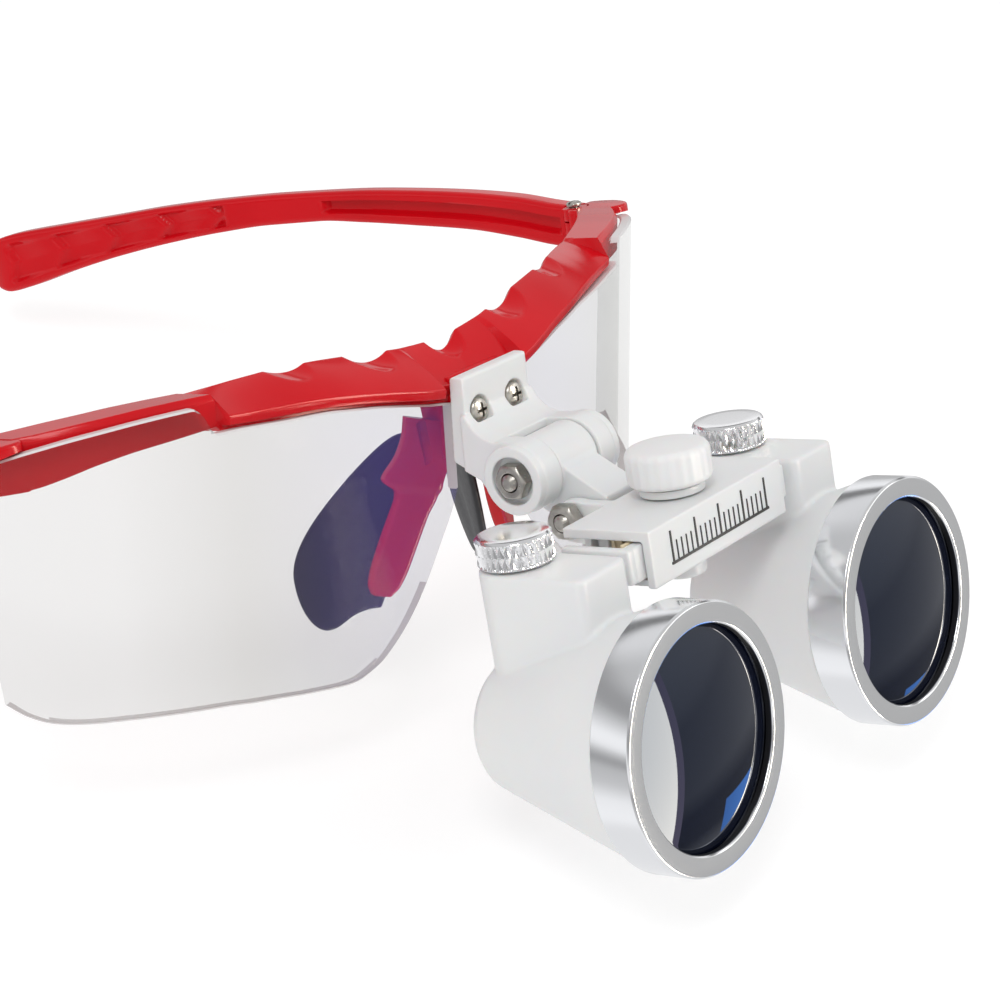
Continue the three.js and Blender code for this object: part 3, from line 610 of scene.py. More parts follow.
def nose_arm(side):
    table = smooth_table([(k, *row) for k, row in enumerate(NOSE_ARM)])
    wide = Vector((0.84, 0.42, 0.34)).normalized()
    deep = Vector((-0.45, 0.89, 0)) * 1.3
    rings = []
    for at in spaced(0, len(NOSE_ARM) - 1, 46):
        x, y, z, half = table(at)
        centre = Vector((x, y, z))
        outline = rounded([(-1, -0.9), (1, -0.9), (1, 0.9), (-1, 0.9)], 0.42, 5)
        rings.append([centre + wide * (half * p.x) + deep * p.y for p in outline])
    return mirrored(loft("nose_arm", rings), side)


def hinge_room(side, past):
    at = (side * HINGE["x"], HINGE["y"], 0)
    return rod("swing", HINGE["knuckle"] + 0.5, "z", at, HINGE["low"] - past, HINGE["high"] + past)


def hinge_bore(side, past):
    at = (side * HINGE["x"], HINGE["y"], 0)
    return rod("pin", HINGE["pin"] + 0.3, "z", at, HINGE["low"] - past, HINGE["high"] + past, 32)


def knuckle(name, low, high, web, radius):
    """A lobe of the hinge on the left side, with the web that joins it to its piece."""
    profile = [(0, low), (HINGE["knuckle"], low), (HINGE["knuckle"], high), (0, high)]
    lobe = turned(name, profile, "z", (HINGE["x"], HINGE["y"], 0), radius)
    return combine(lobe, [prism("web", web, low, high)])


def add_hinge(bow, side):
    """The end block, with room for the lens and for the temple's tongue, and the fork's two lobes."""
    outline = rounded(HINGE_BLOCK, 1.4)
    end_block = prism("hinge_block", outline, HINGE["low"] - 0.2, HINGE["high"], "z", 0.5)
    lens_room = loft("cutter", lens_rings(LENS["clear"], open_front=12, stations=60, levels=5, edge=0.01))
    combine(bow, [cut(mirrored(end_block, side), mirrored(lens_room, side))])
    cut(bow, hinge_room(side, 2))
    web = [(70, 52.4), (74, 54.9), (74, 56), (73.6, 56.2), (70.2, 56.4)]
    spans = ((HINGE["low"], HINGE["low"] + 2.2), (HINGE["high"] - 2.2, HINGE["high"]))
    combine(bow, [mirrored(knuckle("lobe", low, high, web, 0.25), side) for low, high in spans])
    cut(bow, hinge_bore(side, 2))


def cut_vent(bow, side):
    """The slot near the root of the nose arm."""
    outline = rounded([(-0.9, -3.6), (0.9, -3.6), (0.9, 3.6), (-0.9, 3.6)], 0.8, 5)
    slot = prism("slot", outline, -1.9, -0.6, "y", 0)
    turn = axes((0.89, -0.45, 0), (0.45, 0.89, 0), (0, 0, 1))
    slot.data.transform(Matrix.Translation((9.3, 31.2, 6.4)) @ turn)
    cut(bow, mirrored(slot, side))


def make_brow_frame():
    visor, end = smooth_table(VISOR), smooth_table(END_PIECE)
    half = [visor_section(x, visor) for x in spaced(0, 9.2, 32)]
    half += [visor_section(x, visor) for x in spaced(9.9, 46.6, 130)]
    half += [end_section(x, end) for x in spaced(47.3, 71.6, 36)]
    other = [[Vector((-p.x, p.y, p.z)) for p in ring] for ring in reversed(half[1:])]
    bow = loft("brow_bar", other + half)
    outline = rounded([(25.3, 16), (26.7, 3.4), (31.6, 2.2), (32.4, 16)], 0.6)
    post = prism("post", outline, -6.3, 6.3, "x", 0.5)
    combine(bow, [post, *(nose_arm(side) for side in SIDES.values())])
    for side in SIDES.values():
        add_hinge(bow, side)
    for side in SIDES.values():
        cut_vent(bow, side)
    placed(bow, "red", "front", ["brow_frame"], angle=32)


# ---- temples ----
# Temple: y, top z, bottom z, half thickness.
TEMPLE = [
    (56.9, 25.2, 17.6, 2.2), (62, 26, 18.2, 2.2), (70, 27.6, 20, 2.2), (80, 28.9, 21.9, 2.1),
    (92, 30, 23.3, 2), (104, 30.8, 24.6, 1.9), (114, 31.1, 25.4, 1.8), (125, 31.3, 25.4, 1.8),
    (136, 31.2, 24.8, 1.9),
    (148, 30.8, 23.6, 2), (160, 30, 21.9, 2.1), (172, 29.2, 19.6, 2.1), (183, 28.4, 17.1, 2),
    (188, 27.6, 16.4, 1.8), (190.6, 26.4, 17, 1.4), (191.8, 24.6, 18.8, 1),
]
GROOVE = (60, 112.5)
GRIP = (134, 187)
CHEVRON_PITCH = 12.5


def temple_x(y):
    return 76.8 - 22.2 * (max(y - 55, 0) / 136) ** 1.5


def temple_relief(y, across):
    """Depth cut into the inner face; across runs from 0 at the top to 1 at the bottom."""
    groove = ramp_step(GROOVE[0], GROOVE[0] + 1.4, y) * (1 - ramp_step(GROOVE[1] - 1.4, GROOVE[1], y))
    groove *= ramp_step(0.29, 0.33, across) * (1 - ramp_step(0.6, 0.74, across))
    panel = ramp_step(GRIP[0], GRIP[0] + 1.5, y) * (1 - ramp_step(GRIP[1] - 2, GRIP[1], y))
    panel *= ramp_step(0.14, 0.22, across) * (1 - ramp_step(0.78, 0.86, across))
    phase = ((y - GRIP[0] - 7 * abs(across - 0.5)) / CHEVRON_PITCH) % 1
    ridge = ramp_step(0, 0.12, phase) * (1 - ramp_step(0.3, 0.95, phase))
    return 1.5 * groove + panel * (1.0 - 0.85 * ridge)


def make_temple(label, side):
    table = smooth_table(TEMPLE)
    rings = []
    for y in spaced(TEMPLE[0][0], TEMPLE[-1][0], 250):
        high, low, half = table(y)
        outer = temple_x(y)
        inner = outer - 2 * half
        edge = min(1.0, half * 0.6)
        corner = rounded([(inner, high), (inner, low), (outer, low), (outer, high)], edge, 6)
        top, bottom = corner[:7], corner[7:14]
        inside = []
        for k in range(1, 28):
            across = k / 28
            z = top[-1].y + (bottom[0].y - top[-1].y) * across
            real = (high - z) / (high - low)
            inside.append((inner + temple_relief(y, real), z))
        ring = [*top, *inside, *bottom, *corner[14:]]
        rings.append([(p[0], y, p[1]) for p in ring])
    body = loft(f"temple_arm_{label}", rings)
    cut(body, hinge_room(1, 3))
    web = [(72, 57), (73.9, 56.4), (75, 60.4), (72.6, 60.4)]
    combine(body, [knuckle("tongue", HINGE["low"] + 2.5, HINGE["high"] - 2.5, web, 0.2)])
    cut(body, hinge_bore(1, 3))
    placed(mirrored(body, side), "red", f"temple_{label}", [f"temple_{label}"], angle=32)


# ---- nose pads ----
# Pad outline: start, two handles and end of each cubic curve.
PAD_CURVES = [
    ((-3.2, -3), (-2.6, 2.4), (1, 0.4), (7.8, -5)),
    ((7.8, -5), (12.5, -9), (19, -14.5), (18.9, -19.8)),
    ((18.9, -19.8), (18.9, -24.6), (17, -28.2), (14.6, -28)),
    ((14.6, -28), (12, -27.8), (11.4, -25.4), (6.4, -25.7)),
    ((6.4, -25.7), (3.6, -21), (-3.4, -10), (-3.2, -3)),
]
PAD_MIDDLE = Vector((8.2, -15))
PAD_RINGS = [0.02, 0.2, 0.35, 0.5, 0.62, 0.73, 0.82, 0.89, 0.94, 0.975, 1.0]
PAD_THICK = 1.8


def pad_ring(share):
    """The pad's outline, scaled about its middle."""
    points = []
    for handles in PAD_CURVES:
        a, b, c, d = (Vector(p) for p in handles)
        for k in range(22):
            t = k / 22
            p = a * (1 - t) ** 3 + b * (3 * t * (1 - t) ** 2) + c * (3 * t * t * (1 - t)) + d * t ** 3
            points.append(PAD_MIDDLE + (p - PAD_MIDDLE) * share)
    return points


def pad_height(spot, share):
    """Distance from the mid-plane: a thin flexible edge, a thicker middle and a dimple."""
    body = 0.42 + 0.48 * math.sqrt(max(1 - share ** 4, 0))
    dimple = 0.5 * math.exp(-((spot - Vector((13.2, -13.8))).length / 1.5) ** 2)
    hollow = 0.25 * math.exp(-(((spot.x - 9.6) / 3) ** 2 + ((spot.y + 16) / 6.5) ** 2) ** 2)
    return body - dimple - hollow


def pad_face(share, facing):
    return [(p.x, p.y, PAD_THICK / 2 + facing * pad_height(p, share)) for p in pad_ring(share)]


def make_nose_pad(label, side):
    across = Vector((0.6, 0.8, 0))
    up = Vector((-0.16, 0.02, 0.98)).normalized()
    normal = across.cross(up).normalized()
    place = Matrix.Translation((6.2, 38.2, 6.4)) @ axes(across, normal.cross(across), normal)
    rings = [pad_face(share, -1) for share in PAD_RINGS]
    rings.append([(p.x, p.y, PAD_THICK / 2) for p in pad_ring(1.018)])
    rings += [pad_face(share, 1) for share in reversed(PAD_RINGS)]
    pad = loft(f"nose_cushion_{label}", rings)
    pad.data.transform(place)
    placed(mirrored(pad, side), "rubber", "front", [f"nose_pad_{label}"], angle=60)


# ---- white mount parts ----
# Where the bracket's screws stand on its plate: distance from the middle and height.
PLATE_SCREW = (4.36, 10.46)


def make_bracket():
    plate = [(23.8, 16.4), (21.4, 16.3), (21.9, 10.5), (20.6, 8), (19.1, 7), (19.1, -1.6), (20.6, 0.6),
             (25.7, 3.2)]
    body = prism("mount_bracket", rounded(plate, 0.5), -8, 8, "x", 0.45)
    shoulder = [(22.6, 10.6), (21.7, 10.6), *curve((21.7, 10.6), (20.4, 7.2), (17, 6.6))]
    ear = [*shoulder, *arc(FLIP["y"], FLIP["z"], 5.5, 90, 270, 40)]
    ear += curve((FLIP["y"], FLIP["z"] - 5.5), (18.5, -3), (20.6, 0.6))
    ear += [(23.4, 2)]
    added = [prism("ear", ear, low, high, "x") for low, high in ((-8.6, -5), (5, 8.6))]
    for low, high in ((-10.3, -8.2), (8.2, 10.3)):
        added.append(turned("collar", [(3.7, low), (5.3, low), (5.3, high), (3.7, high)], "x", FLIP_AT, 0))
    saddle = prism("saddle", [*shoulder, (17, 2), (20, 2)], -5.2, 5.2, "x")
    added.append(cut(saddle, rod("room", 5.6, "x", FLIP_AT, -9, 9, 96)))
    combine(body, added)
    recess = [(0, 0), (2.45, 0), (2.2, 1.9), (1.1, 1.9), (1.1, 6), (0, 6)]
    x, z = PLATE_SCREW
    cuts = [turned("recess", recess, "y", (side * x, 21, z), 0) for side in SIDES.values()]
    cut(body, *cuts, pivot_bore(FLIP_AT))
    moulded(body, 0.17)
    placed(body, "white", "front", ["bracket"], angle=180)


def make_link():
    upper = rod("tilt_link", 5.2, "x", FLIP_AT, -4.7, 4.7, 96)
    lower = rod("lower", 3.5, "x", TILT_AT, -4.2, 4.2, 96)
    web = [(9.5, 4.6), (7.6, 1.4), (0.9, -2.6), (0.9, -3.3), (3.6, -6.2), (9.2, -7.4), (15.4, -3.4)]
    combine(upper, [lower, prism("web", web, -4.2, 4.2, "x")])
    cut(upper, pivot_bore(FLIP_AT), pivot_bore(TILT_AT))
    moulded(upper, 0.17)
    placed(upper, "white", "link", ["flip_link"], angle=180)


def make_housing():
    half, front, back, low, high = (BAR[key] for key in ("x", "front", "back", "low", "high"))
    wall, lip = BAR["wall"], back - 0.5
    y, z = TILT["y"], TILT["z"]
    body = block("slide_housing", (-half, half), (front, back), (high - BAR["plate"], high))
    face = block("face", (-half, half), (front, front + wall), (low, high))
    rear = block("rear", (-13, 13), (back - wall + 0.1, back), (-10, high))
    cheek = [(lip, high), (y - 2.6, high)]
    cheek += curve(cheek[-1], (y + 2, z + 3.6), (y + 3.8, z))
    cheek += curve(cheek[-1], (y + 3, z - 3.8), (y, z - 3.8))
    cheek += [(lip, -9.6)]
    cheeks = [prism("cheek", cheek, start, end, "x") for start, end in ((-6.7, -4.6), (4.6, 6.7))]
    combine(body, [face, rear, *cheeks])
    cut(body, pivot_bore(TILT_AT), rod("shaft", BORES["shaft"], "z", PINION_AT, -20, 5))
    moulded(body, 0.2)
    placed(body, "white", "carrier", ["crossbar_housing"], angle=180)


def make_cover():
    front = BAR["front"] + BAR["wall"] + 0.3
    back = BAR["back"] - BAR["wall"] - 0.3
    plate = block("slide_cover", (-16.8, 16.8), (front, back), (-11.3, -10.3), 0.2)
    boss = turned("boss", [(0, -15.4), (3.4, -15.4), (3.4, -10.6), (0, -10.6)], "z", PINION_AT, 0.8)
    combine(plate, [boss])
    cut(plate, rod("shaft", BORES["shaft"], "z", PINION_AT, -14.4, -5))
    placed(plate, "white", "carrier", ["crossbar_cover"])


def make_scale():
    """Graduation ticks standing a little proud of the crossbar's front face."""
    span = (BAR["front"] - 0.12, BAR["front"] + 0.2)
    foot, pitch = -8.9, 1.25

    def bar(name, middle, half, low, high, corner):
        outline = [(middle - half, low), (middle + half, low), (middle + half, high), (middle - half, high)]
        return prism(name, rounded(outline, corner), *span, "y")

    ticks = []
    for k in range(-10, 11):
        half, tall = (0.17, 4.6) if k % 5 == 0 else (0.11, 2.9)
        ticks.append(bar("tick", k * pitch, half, foot, foot + tall, 0.08))
    scale = combine(bar("scale_ticks", 0, 13, foot - 0.35, foot + 0.05, 0.1), ticks)
    settled(scale, "ink")
    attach(scale, "carrier")


def make_arm(label, side):
    span = (-13.9, -11.9) if side < 0 else (-4.1, -2.1)
    low, high = NECK["slot"] + 0.3, NECK["roof"] - 0.3
    eye = [(0, low), (4.1, low), (4.1, high), (0, high)]
    body = turned(f"slide_carriage_{label}", eye, "z", (AXIS_X, 0, 0), 0.3)
    tongue = block("tongue", (20.4, AXIS_X), (-4.1, 4.1), (low, high), 0.25)
    shoulder = block("shoulder", (19, 20.8), (-13.9, -2.1), (-9.9, -4.8), 0.4)
    run = block("run", (-12, 19.5), span, (-9.9, -4.8), 0.25)
    combine(body, [tongue, shoulder, run])
    cut(body, rod("hole", BORES["screw"], "z", (AXIS_X, 0, 0), -20, 0))
    placed(mirrored(body, side), "white", f"slide_{label}", [f"slide_arm_{label}"])


def make_knob():
    def flutes(angle, r):
        side_wall = ramp_step(5.4, 6.3, r)
        return r - 0.1 * side_wall * (0.5 + 0.5 * math.cos(24 * angle))

    profile = [(0, -1.1), (5.86, -1.1), (6.36, -0.5), (6.36, 3.6), (5.7, 4.4), (0, 4.7)]
    body = turned("adjust_cap", profile, "z", ORIGIN, 0.5, 192, flutes)
    cut(body, rod("hole", BORES["shaft"], "z", ORIGIN, -2.1, 2.3))
    placed(body, "knob", "knob", ["adjust_knob"], shifted(1, *PINION_AT), 50)


# ---- thumbscrews: chrome, with a diamond knurl ----
KNURL = {"around": 32, "per_tooth": 12, "layers": 30, "depth": 0.5}


def knurl_radius(k, share):
    """Radius of the grip at a point round it and a share of the way up: one row of pyramids."""
    u = k / KNURL["per_tooth"]
    peak = min(abs((u + share) % 1 - 0.5), abs((u - share) % 1 - 0.5)) * 2
    edge = min(ramp_step(0, 0.06, share), ramp_step(0, 0.06, 1 - share))
    return THUMB["radius"] - 0.02 - KNURL["depth"] * (1 - peak) ** 1.2 * edge - 0.12 * (1 - edge)


def make_thumbscrew(label, side):
    radius, height, shank, end = (THUMB[key] for key in ("radius", "height", "shank", "end"))
    segments = KNURL["around"] * KNURL["per_tooth"]
    rings = []

    def add_ring(reach, z):
        turns = [2 * math.pi * k / segments for k in range(segments)]
        radii = [reach(k) if callable(reach) else reach for k in range(segments)]
        rings.append([(r * math.cos(turn), r * math.sin(turn), z) for r, turn in zip(radii, turns)])

    add_ring(0.01, end)
    add_ring(shank - 0.3, end)
    steps = 88
    for k in range(steps + 1):
        add_ring(shank - (0.16 if k % 4 < 2 else 0), end + 0.4 + (-height - 0.6 - end) * k / steps)
    add_ring(shank, -height)
    add_ring(radius - 0.55, -height)
    add_ring(radius - 0.35, -height + 0.08)
    for layer in range(KNURL["layers"] + 1):
        share = layer / KNURL["layers"]
        add_ring(lambda k: knurl_radius(k, share), -height + 0.3 + (height - 0.75) * share)
    for reach, z in ((radius - 0.22, -0.32), (radius - 0.5, -0.1), (radius - 0.9, -0.02), (radius * 0.6, 0),
                     (0.01, 0)):
        add_ring(reach, z)
    screw = loft(f"thumb_knob_{label}", rings)
    placed(screw, "chrome", f"thumbscrew_{label}", [f"thumbscrew_{label}"],
           shifted(side, AXIS_X), 22)


# ---- barrels ----
BARREL_LEAN = Matrix.Rotation(-RING["tilt"], 4, "X")


def on_barrel(side):
    return shifted(side, AXIS_X, RING["y"], RING["z"]) @ BARREL_LEAN


def barrel_neck():
    half, front, high = NECK["x"], NECK["front"], NECK["high"]
    plan = arc(0, 0, half, 180, 0, 36)
    plan += [(half, front + 0.8), (half - 0.8, front), (0.8 - half, front), (-half, front + 0.8)]
    chamfer = [(front - 1, high - 1.3), (front + 1.3, high + 1), (front - 1, high + 1)]
    return cut(prism("neck", plan, NECK["low"], high), prism("chamfer", chamfer, -8, 8, "x"))


def make_barrel(label, side):
    start, length = RING["band"] + 0.25, CONE["length"]
    front, rear = CONE["front"], CONE["rear"]
    throat = front - CONE["wall"]
    outer = [(0, start), (front, start), (rear + 0.6, length - 2), (rear - 0.6, length - 0.6),
             (rear - 1.6, length), (0, length)]
    inner = [(0, start - 2), (throat, start - 2), (throat, start), (7.6, 26.5), (7.6, length + 2),
             (0, length + 2)]
    leaning = Matrix.Translation((0, RING["y"], RING["z"])) @ BARREL_LEAN
    upright = leaning.inverted()
    shell = turned(f"barrel_housing_{label}", outer, "y", ORIGIN, 0, 128)
    bore = turned("bore", inner, "y", ORIGIN, 0, 96)
    shell.data.transform(leaning)
    bore.data.transform(leaning)
    combine(shell, [barrel_neck()])
    slot = (NECK["slot"], NECK["roof"])
    cut(shell, bore, block("slot", (-NECK["x"] - 1, 0), (-4.9, 4.9), slot),
        rod("round", 4.5, "z", ORIGIN, *slot), rod("hole", BORES["screw"], "z", ORIGIN, -13.6, 0),
        prism("seat", hexagon(5.7 / math.sqrt(3)), -13.4, NECK["slot"] + 0.1))
    moulded(shell, 0.36)

    def black_bore(polygon):
        spot = upright @ polygon.center
        lean = upright.to_3x3() @ polygon.normal
        reach = math.hypot(spot.x, spot.z)
        facing_axis = spot.x * lean.x + spot.z * lean.z < 0
        inside = start + 0.6 < spot.y < length - 0.8 and facing_axis
        widest = max(throat + 0.5 - max(spot.y - start, 0) * 0.4, 8.1)
        return 1 if inside and 6 < reach < widest else 0

    painted(shell, ("white", "black"), black_bore)
    placed(mirrored(shell, side), None, f"barrel_{label}", [f"barrel_{label}"],
           shifted(side, AXIS_X), 180)


def make_bezel(label, side):
    def face_or_bore(polygon):
        x, y, z = polygon.center
        if math.hypot(x, z) < 15.95 and y > 0.4:
            return 2
        return 1 if y < 0.2 else 0

    bore, outer, band = RING["bore"], RING["radius"], RING["band"]
    profile = [(bore, 0.5), (bore, 0.25), (bore + 0.25, 0), (outer - 0.3, 0), (outer, 0.3), (outer, band),
               (16.9, band), (16.9, 1.3), (bore, 1.3)]
    ring = turned(f"bezel_trim_{label}", profile, "y", ORIGIN, 0.08, 192)
    painted(ring, ("aluminium", "satin", "black"), face_or_bore)
    placed(ring, None, f"barrel_{label}", [f"bezel_{label}"], on_barrel(side), 28)


def bulge(radius, middle, rise, steps):
    """The profile of a domed face from its middle outwards: its height changes by rise at the edge."""
    return [(radius * k / steps, middle + rise * (k / steps) ** 2) for k in range(steps + 1)]


# Name, CAD node, material, slot, profile, corner radius, segments, sharp angle.
OPTICS = [
    ("front_lens", "objective", "glass", "optic_glass",
     [*bulge(15.45, -0.55, 2, 36), (16.4, 1.75), (16.4, 5.9), (0, 6.1)], 0, 128, 30),
    ("front_spacer", "objective_spacer", "black", "ring_black",
     [(14.4, 6.6), (15.9, 6.6), (15.2, 8.6), (14, 8.6)], 0.2, 96, 35),
    ("rear_lens", "eyepiece", "glass", "optic_glass",
     [*bulge(7.2, 28.6, -1.2, 12), *reversed(bulge(7.2, 29.3, 0.9, 12))], 0, 96, 40),
    ("rear_ring", "eyepiece_ring", "black", "ring_black",
     [(5.9, 30.6), (7.3, 30.6), (7.3, 34.7), (6.3, 34.7), (5.9, 34.1)], 0.15, 96, 35),
]


def make_optics(label, side):
    for name, cad, material, slot, profile, radius, segments, angle in OPTICS:
        thing = turned(f"{name}_{label}", profile, "y", ORIGIN, radius, segments)
        placed(thing, material, f"barrel_{label}", [f"{cad}_{label}"], on_barrel(side), angle)


# ---- fasteners ----
def home_of(name):
    bodies = frame["record"]["behaviour"]["bodies"]
    return next(body for body, members in bodies.items() if name in members)


def make_bracket_screw(label, side):
    x, y, z = side * PLATE_SCREW[0], 21.3, PLATE_SCREW[1]

    # The deeper faces of the cross recess get the dark steel: painted shade where the recess is in shadow.
    def painted_shade_or_head(polygon):
        spot = polygon.center
        reach = math.hypot(spot.x - x, spot.z - z)
        deep = y + 0.12 + 0.45 * max(reach - 0.6, 0) < spot.y < y + 0.9
        return 1 if reach < 1.3 and deep else 0

    profile = [(0, 0), (0.9, 0), (1.75, 0.45), (1.95, 0.9), (1.95, 1.4), (0.75, 1.4), (0.75, 7.6), (0, 8.2)]
    screw = turned(f"plate_screw_{label}", profile, "y", (x, y, z), 0.25, 64)
    cross = [block("cross", (x - wide, x + wide), (y - 1, y + 0.8), (z - tall, z + tall))
             for wide, tall in ((0.24, 1.15), (1.15, 0.24))]
    cut(screw, combine(cross[0], [cross[1]]))
    painted(screw, ("steel", "recess"), painted_shade_or_head)
    placed(screw, None, "front", [f"bracket_screw_{label}"])


def thread(radius, low, high, pitch, depth):
    points = []
    count = int((high - low) / pitch)
    for k in range(count):
        points += [(radius - depth, low + pitch * k), (radius, low + pitch * (k + 0.5))]
    return [*points, (radius - depth, low + pitch * count)]


def make_bolt(name, axis, replaced):
    """A socket head bolt along X."""
    grip, y, z = axis["grip"], axis["y"], axis["z"]
    tip = -grip - 3
    profile = [(0, tip), (0.75, tip), *thread(1.25, tip + 0.25, -grip + 0.5, 0.3, 0.16)]
    profile += [(1.25, -grip + 0.8), (1.25, grip + 0.3), (2.5, grip + 0.3), (2.5, grip + 1.7),
                (2.0, grip + 2.2), (0, grip + 2.2)]
    bolt = turned(name, profile, "x", (0, y, z), 0, 64)
    cut(bolt, prism("socket", hexagon(1.15, (y, z)), grip + 1.1, grip + 3, "x"))
    placed(bolt, "steel", home_of(replaced), [replaced])


def make_nut(name, axis, replaced):
    """A hexagon nut along X, its corners chamfered by a cone."""
    grip, y, z = axis["grip"], axis["y"], axis["z"]
    nut = prism(name, hexagon(2.887, (y, z)), -grip - 2.4, -grip - 0.3, "x")
    shape = [(0, -grip - 2.5), (2.3, -grip - 2.41), (2.95, -grip - 1.95), (2.95, -grip - 0.3),
             (0, -grip - 0.3)]
    combine(nut, [turned("shape", shape, "x", (0, y, z), 0, 64)], "INTERSECT")
    cut(nut, rod("hole", 1.5, "x", (0, y, z), -30, 0, 48))
    bevelled(nut, 0.07, 2)
    placed(nut, "steel", home_of(replaced), [replaced])


def make_hinge_screw(label, side):
    low, high = HINGE["low"] - 0.4, HINGE["high"] + 0.3
    profile = [(0, low), (HINGE["pin"], low), (HINGE["pin"], high), (1.4, high), (1.4, high + 0.45),
               (1.0, high + 0.75), (0, high + 0.8)]
    x, y = side * HINGE["x"], HINGE["y"]
    screw = turned(f"hinge_screw_{label}", profile, "z", (x, y, 0), 0.12, 48)
    cut(screw, block("slot", (x - 1.6, x + 1.6), (y - 0.18, y + 0.18), (high + 0.4, high + 2)))
    placed(screw, "steel", home_of(f"temple_screw_{label}"), [f"temple_screw_{label}"])


# ---- small machined parts whose CAD shape is right: a copy with eased edges ----
def eased(name, new_name, material, width=0.08):
    mesh = nodes[name].data.copy()
    mesh.transform(LOUPES.inverted())
    mesh.transform(Matrix.Scale(1 / MM, 4))
    work = bmesh.new()
    work.from_mesh(mesh)
    bmesh.ops.remove_doubles(work, verts=work.verts, dist=1e-3)
    bmesh.ops.dissolve_limit(work, angle_limit=math.radians(1), verts=work.verts, edges=work.edges)
    work.to_mesh(mesh)
    work.free()
    thing = linked(new_name, mesh)
    bevelled(thing, width, 2)
    placed(thing, material, home_of(name), [name])


# ---- studio ----
def area_light(name, place, size, power):
    data = bpy.data.lights.new(name, "AREA")
    data.shape = "RECTANGLE"
    data.size, data.size_y = size
    data.energy = power
    light = linked(name, data)
    light.location = place
    light.rotation_euler = (Vector((0, -0.04, 0.02)) - Vector(place)).to_track_quat("-Z", "Y").to_euler()


CARD_REACH = 0.9


def card(name, azimuths, heights, glow):
    """A stage card that only reflections see, across a span of bearings from straight ahead."""
    turns = [math.radians(azimuth) for azimuth in azimuths]
    (x0, y0), (x1, y1) = ((math.sin(turn) * CARD_REACH, -math.cos(turn) * CARD_REACH) for turn in turns)
    low, high = heights
    mesh = bpy.data.meshes.new(name)
    mesh.from_pydata([(x0, y0, low), (x1, y1, low), (x1, y1, high), (x0, y0, high)], [], [(0, 1, 2, 3)])
    strength = max(glow)
    colour = (*(value / strength for value in glow), 1)
    mesh.materials.append(shader(name, (0, 0, 0), 0.9, Emission_Color=colour, Emission_Strength=strength))
    thing = linked(name, mesh)
    for ray in ("camera", "diffuse", "shadow", "transmission"):
        setattr(thing, f"visible_{ray}", False)


# What reflections see of the studio, to the left and to the right of the loupes:
# height of the direction (-1 down, 1 up), brightness.
LEFT_PANELS = [
    (-1, 0.85), (-0.87, 0.85), (-0.79, 1.0), (-0.62, 0.95), (-0.45, 0.62), (-0.28, 0.55), (-0.19, 0.3),
    (-0.12, 0.5), (-0.03, 1.0), (0.09, 1.0), (0.2, 0.7), (0.34, 0.34), (0.44, 0.34), (0.56, 0.55), (1, 0.6),
]
RIGHT_PANELS = [
    (-1, 0.85), (-0.5, 0.9), (-0.42, 0.2), (-0.34, 0.2), (-0.27, 0.5), (-0.02, 0.5), (0.04, 0.68),
    (0.22, 1.0), (0.3, 1.0), (0.35, 0.15), (0.44, 0.15), (0.5, 0.8), (0.7, 0.7), (1, 0.62),
]


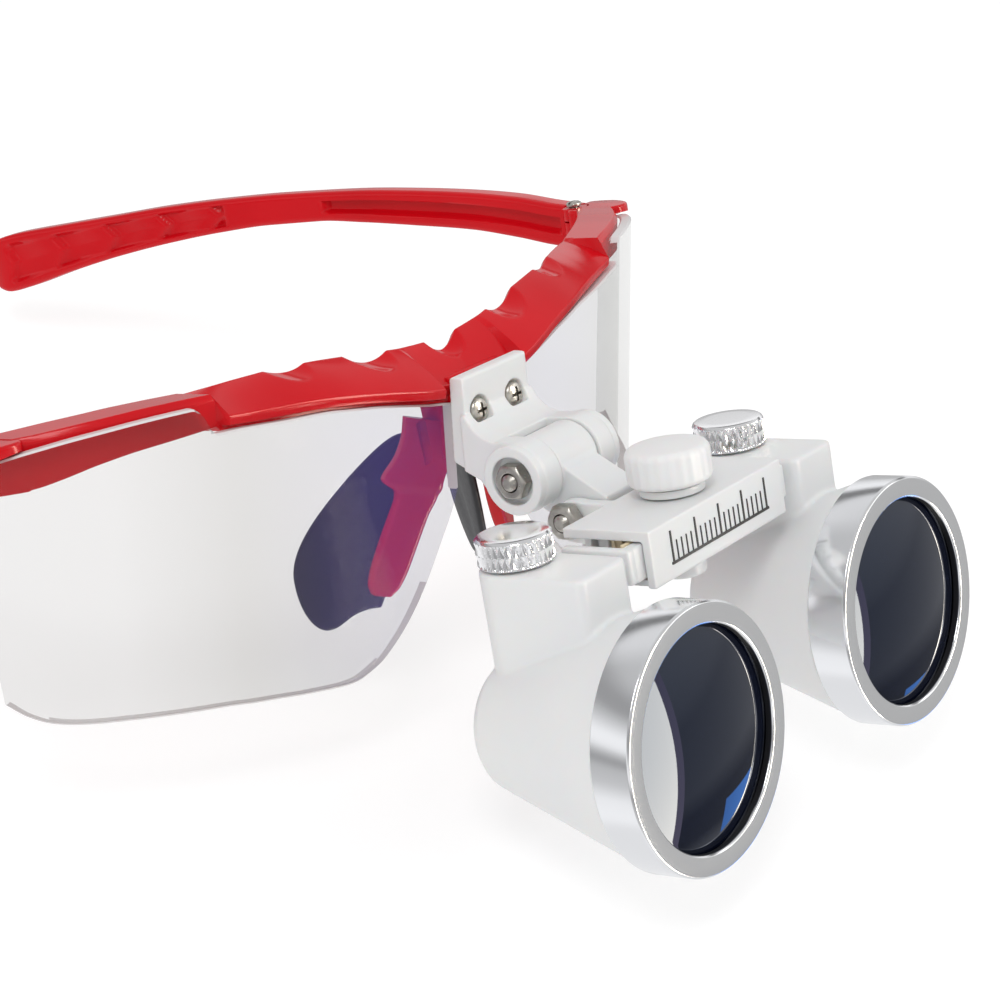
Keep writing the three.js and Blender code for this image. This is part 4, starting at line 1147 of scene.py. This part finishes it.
def make_world():
    world = bpy.data.worlds.new("studio")
    bpy.context.scene.world = world
    world.use_nodes = True
    place = node(world, "ShaderNodeTexCoord")
    parts = node(world, "ShaderNodeSeparateXYZ")
    join(world, place, "Generated", parts, "Vector")
    height = node(world, "ShaderNodeMapRange", From_Min=-1)
    join(world, parts, "Z", height, "Value")
    aside = node(world, "ShaderNodeMapRange", From_Min=-0.15, From_Max=0.15)
    join(world, parts, "X", aside, "Value")
    sides = node(world, "ShaderNodeMixRGB")
    join(world, aside, "Result", sides, "Fac")
    for socket, panels in (("Color1", LEFT_PANELS), ("Color2", RIGHT_PANELS)):
        ramp = node(world, "ShaderNodeValToRGB")
        set_stops(ramp, [((z + 1) / 2, (value, value, value * 1.01)) for z, value in panels])
        join(world, height, "Result", ramp, "Fac")
        join(world, ramp, "Color", sides, socket)
    plain = world.node_tree.nodes["Background"]
    plain.inputs["Color"].default_value = (1, 1, 1, 1)
    plain.inputs["Strength"].default_value = 0.80
    panelled = node(world, "ShaderNodeBackground", Strength=1.0)
    join(world, sides, "Color", panelled, "Color")
    backdrop = node(world, "ShaderNodeBackground", Strength=1.02)
    ray = node(world, "ShaderNodeLightPath")
    light = plain
    for kind, seen in (("Is Glossy Ray", panelled), ("Is Camera Ray", backdrop)):
        mix = node(world, "ShaderNodeMixShader")
        join(world, ray, kind, mix, 0)
        join(world, light, 0, mix, 1)
        join(world, seen, 0, mix, 2)
        light = mix
    join(world, light, 0, world.node_tree.nodes["World Output"], "Surface")


def make_floor():
    mesh = bpy.data.meshes.new("floor")
    half, level = 3.0, -0.0095
    corners = [(-half, -half), (half, -half), (half, half), (-half, half)]
    mesh.from_pydata([(x, y, level) for x, y in corners], [], [(0, 1, 2, 3)])
    mesh.materials.append(MATERIALS["floor"])
    floor = linked("floor", mesh)
    floor.visible_glossy = False


def make_studio():
    bpy.context.scene.view_settings.view_transform = "Standard"
    make_world()
    area_light("key", (-0.5, -0.25, 0.75), (0.3, 0.3), 2.2)
    area_light("fill", (0.6, -0.5, 0.45), (0.5, 0.3), 0.8)
    make_floor()
    card("window_card", (14, 28.5), (-0.65, 1.1), (15, 13.6, 11.5))
    card("window_edge_card", (28.5, 31), (-0.65, 1.1), (1.2, 1.0, 1.3))
    card("blue_card", (50, 72), (-0.78, -0.34), (0.4, 1.1, 3.0))


# ---- the loupes ----
make_camera()
make_brow_frame()
make_bracket()
make_link()
for hinge, axis in (("flip", FLIP), ("tilt", TILT)):
    make_bolt(f"{hinge}_pivot", axis, f"{hinge}_bolt")
    make_nut(f"{hinge}_pivot_nut", axis, f"{hinge}_nut")
make_housing()
make_cover()
make_scale()
make_knob()
eased("knob_washer", "adjust_washer", "white")
eased("pinion_shaft", "adjust_pinion", "steel", 0.05)
for label, side in SIDES.items():
    make_lens(label, side)
    make_temple(label, side)
    make_nose_pad(label, side)
    make_bracket_screw(label, side)
    make_hinge_screw(label, side)
    make_arm(label, side)
    eased(f"rack_{label}", f"slide_rack_{label}", "ivory", 0.04)
    make_thumbscrew(label, side)
    eased(f"thumb_nut_{label}", f"captive_nut_{label}", "steel")
    make_barrel(label, side)
    make_bezel(label, side)
    make_optics(label, side)
make_studio()
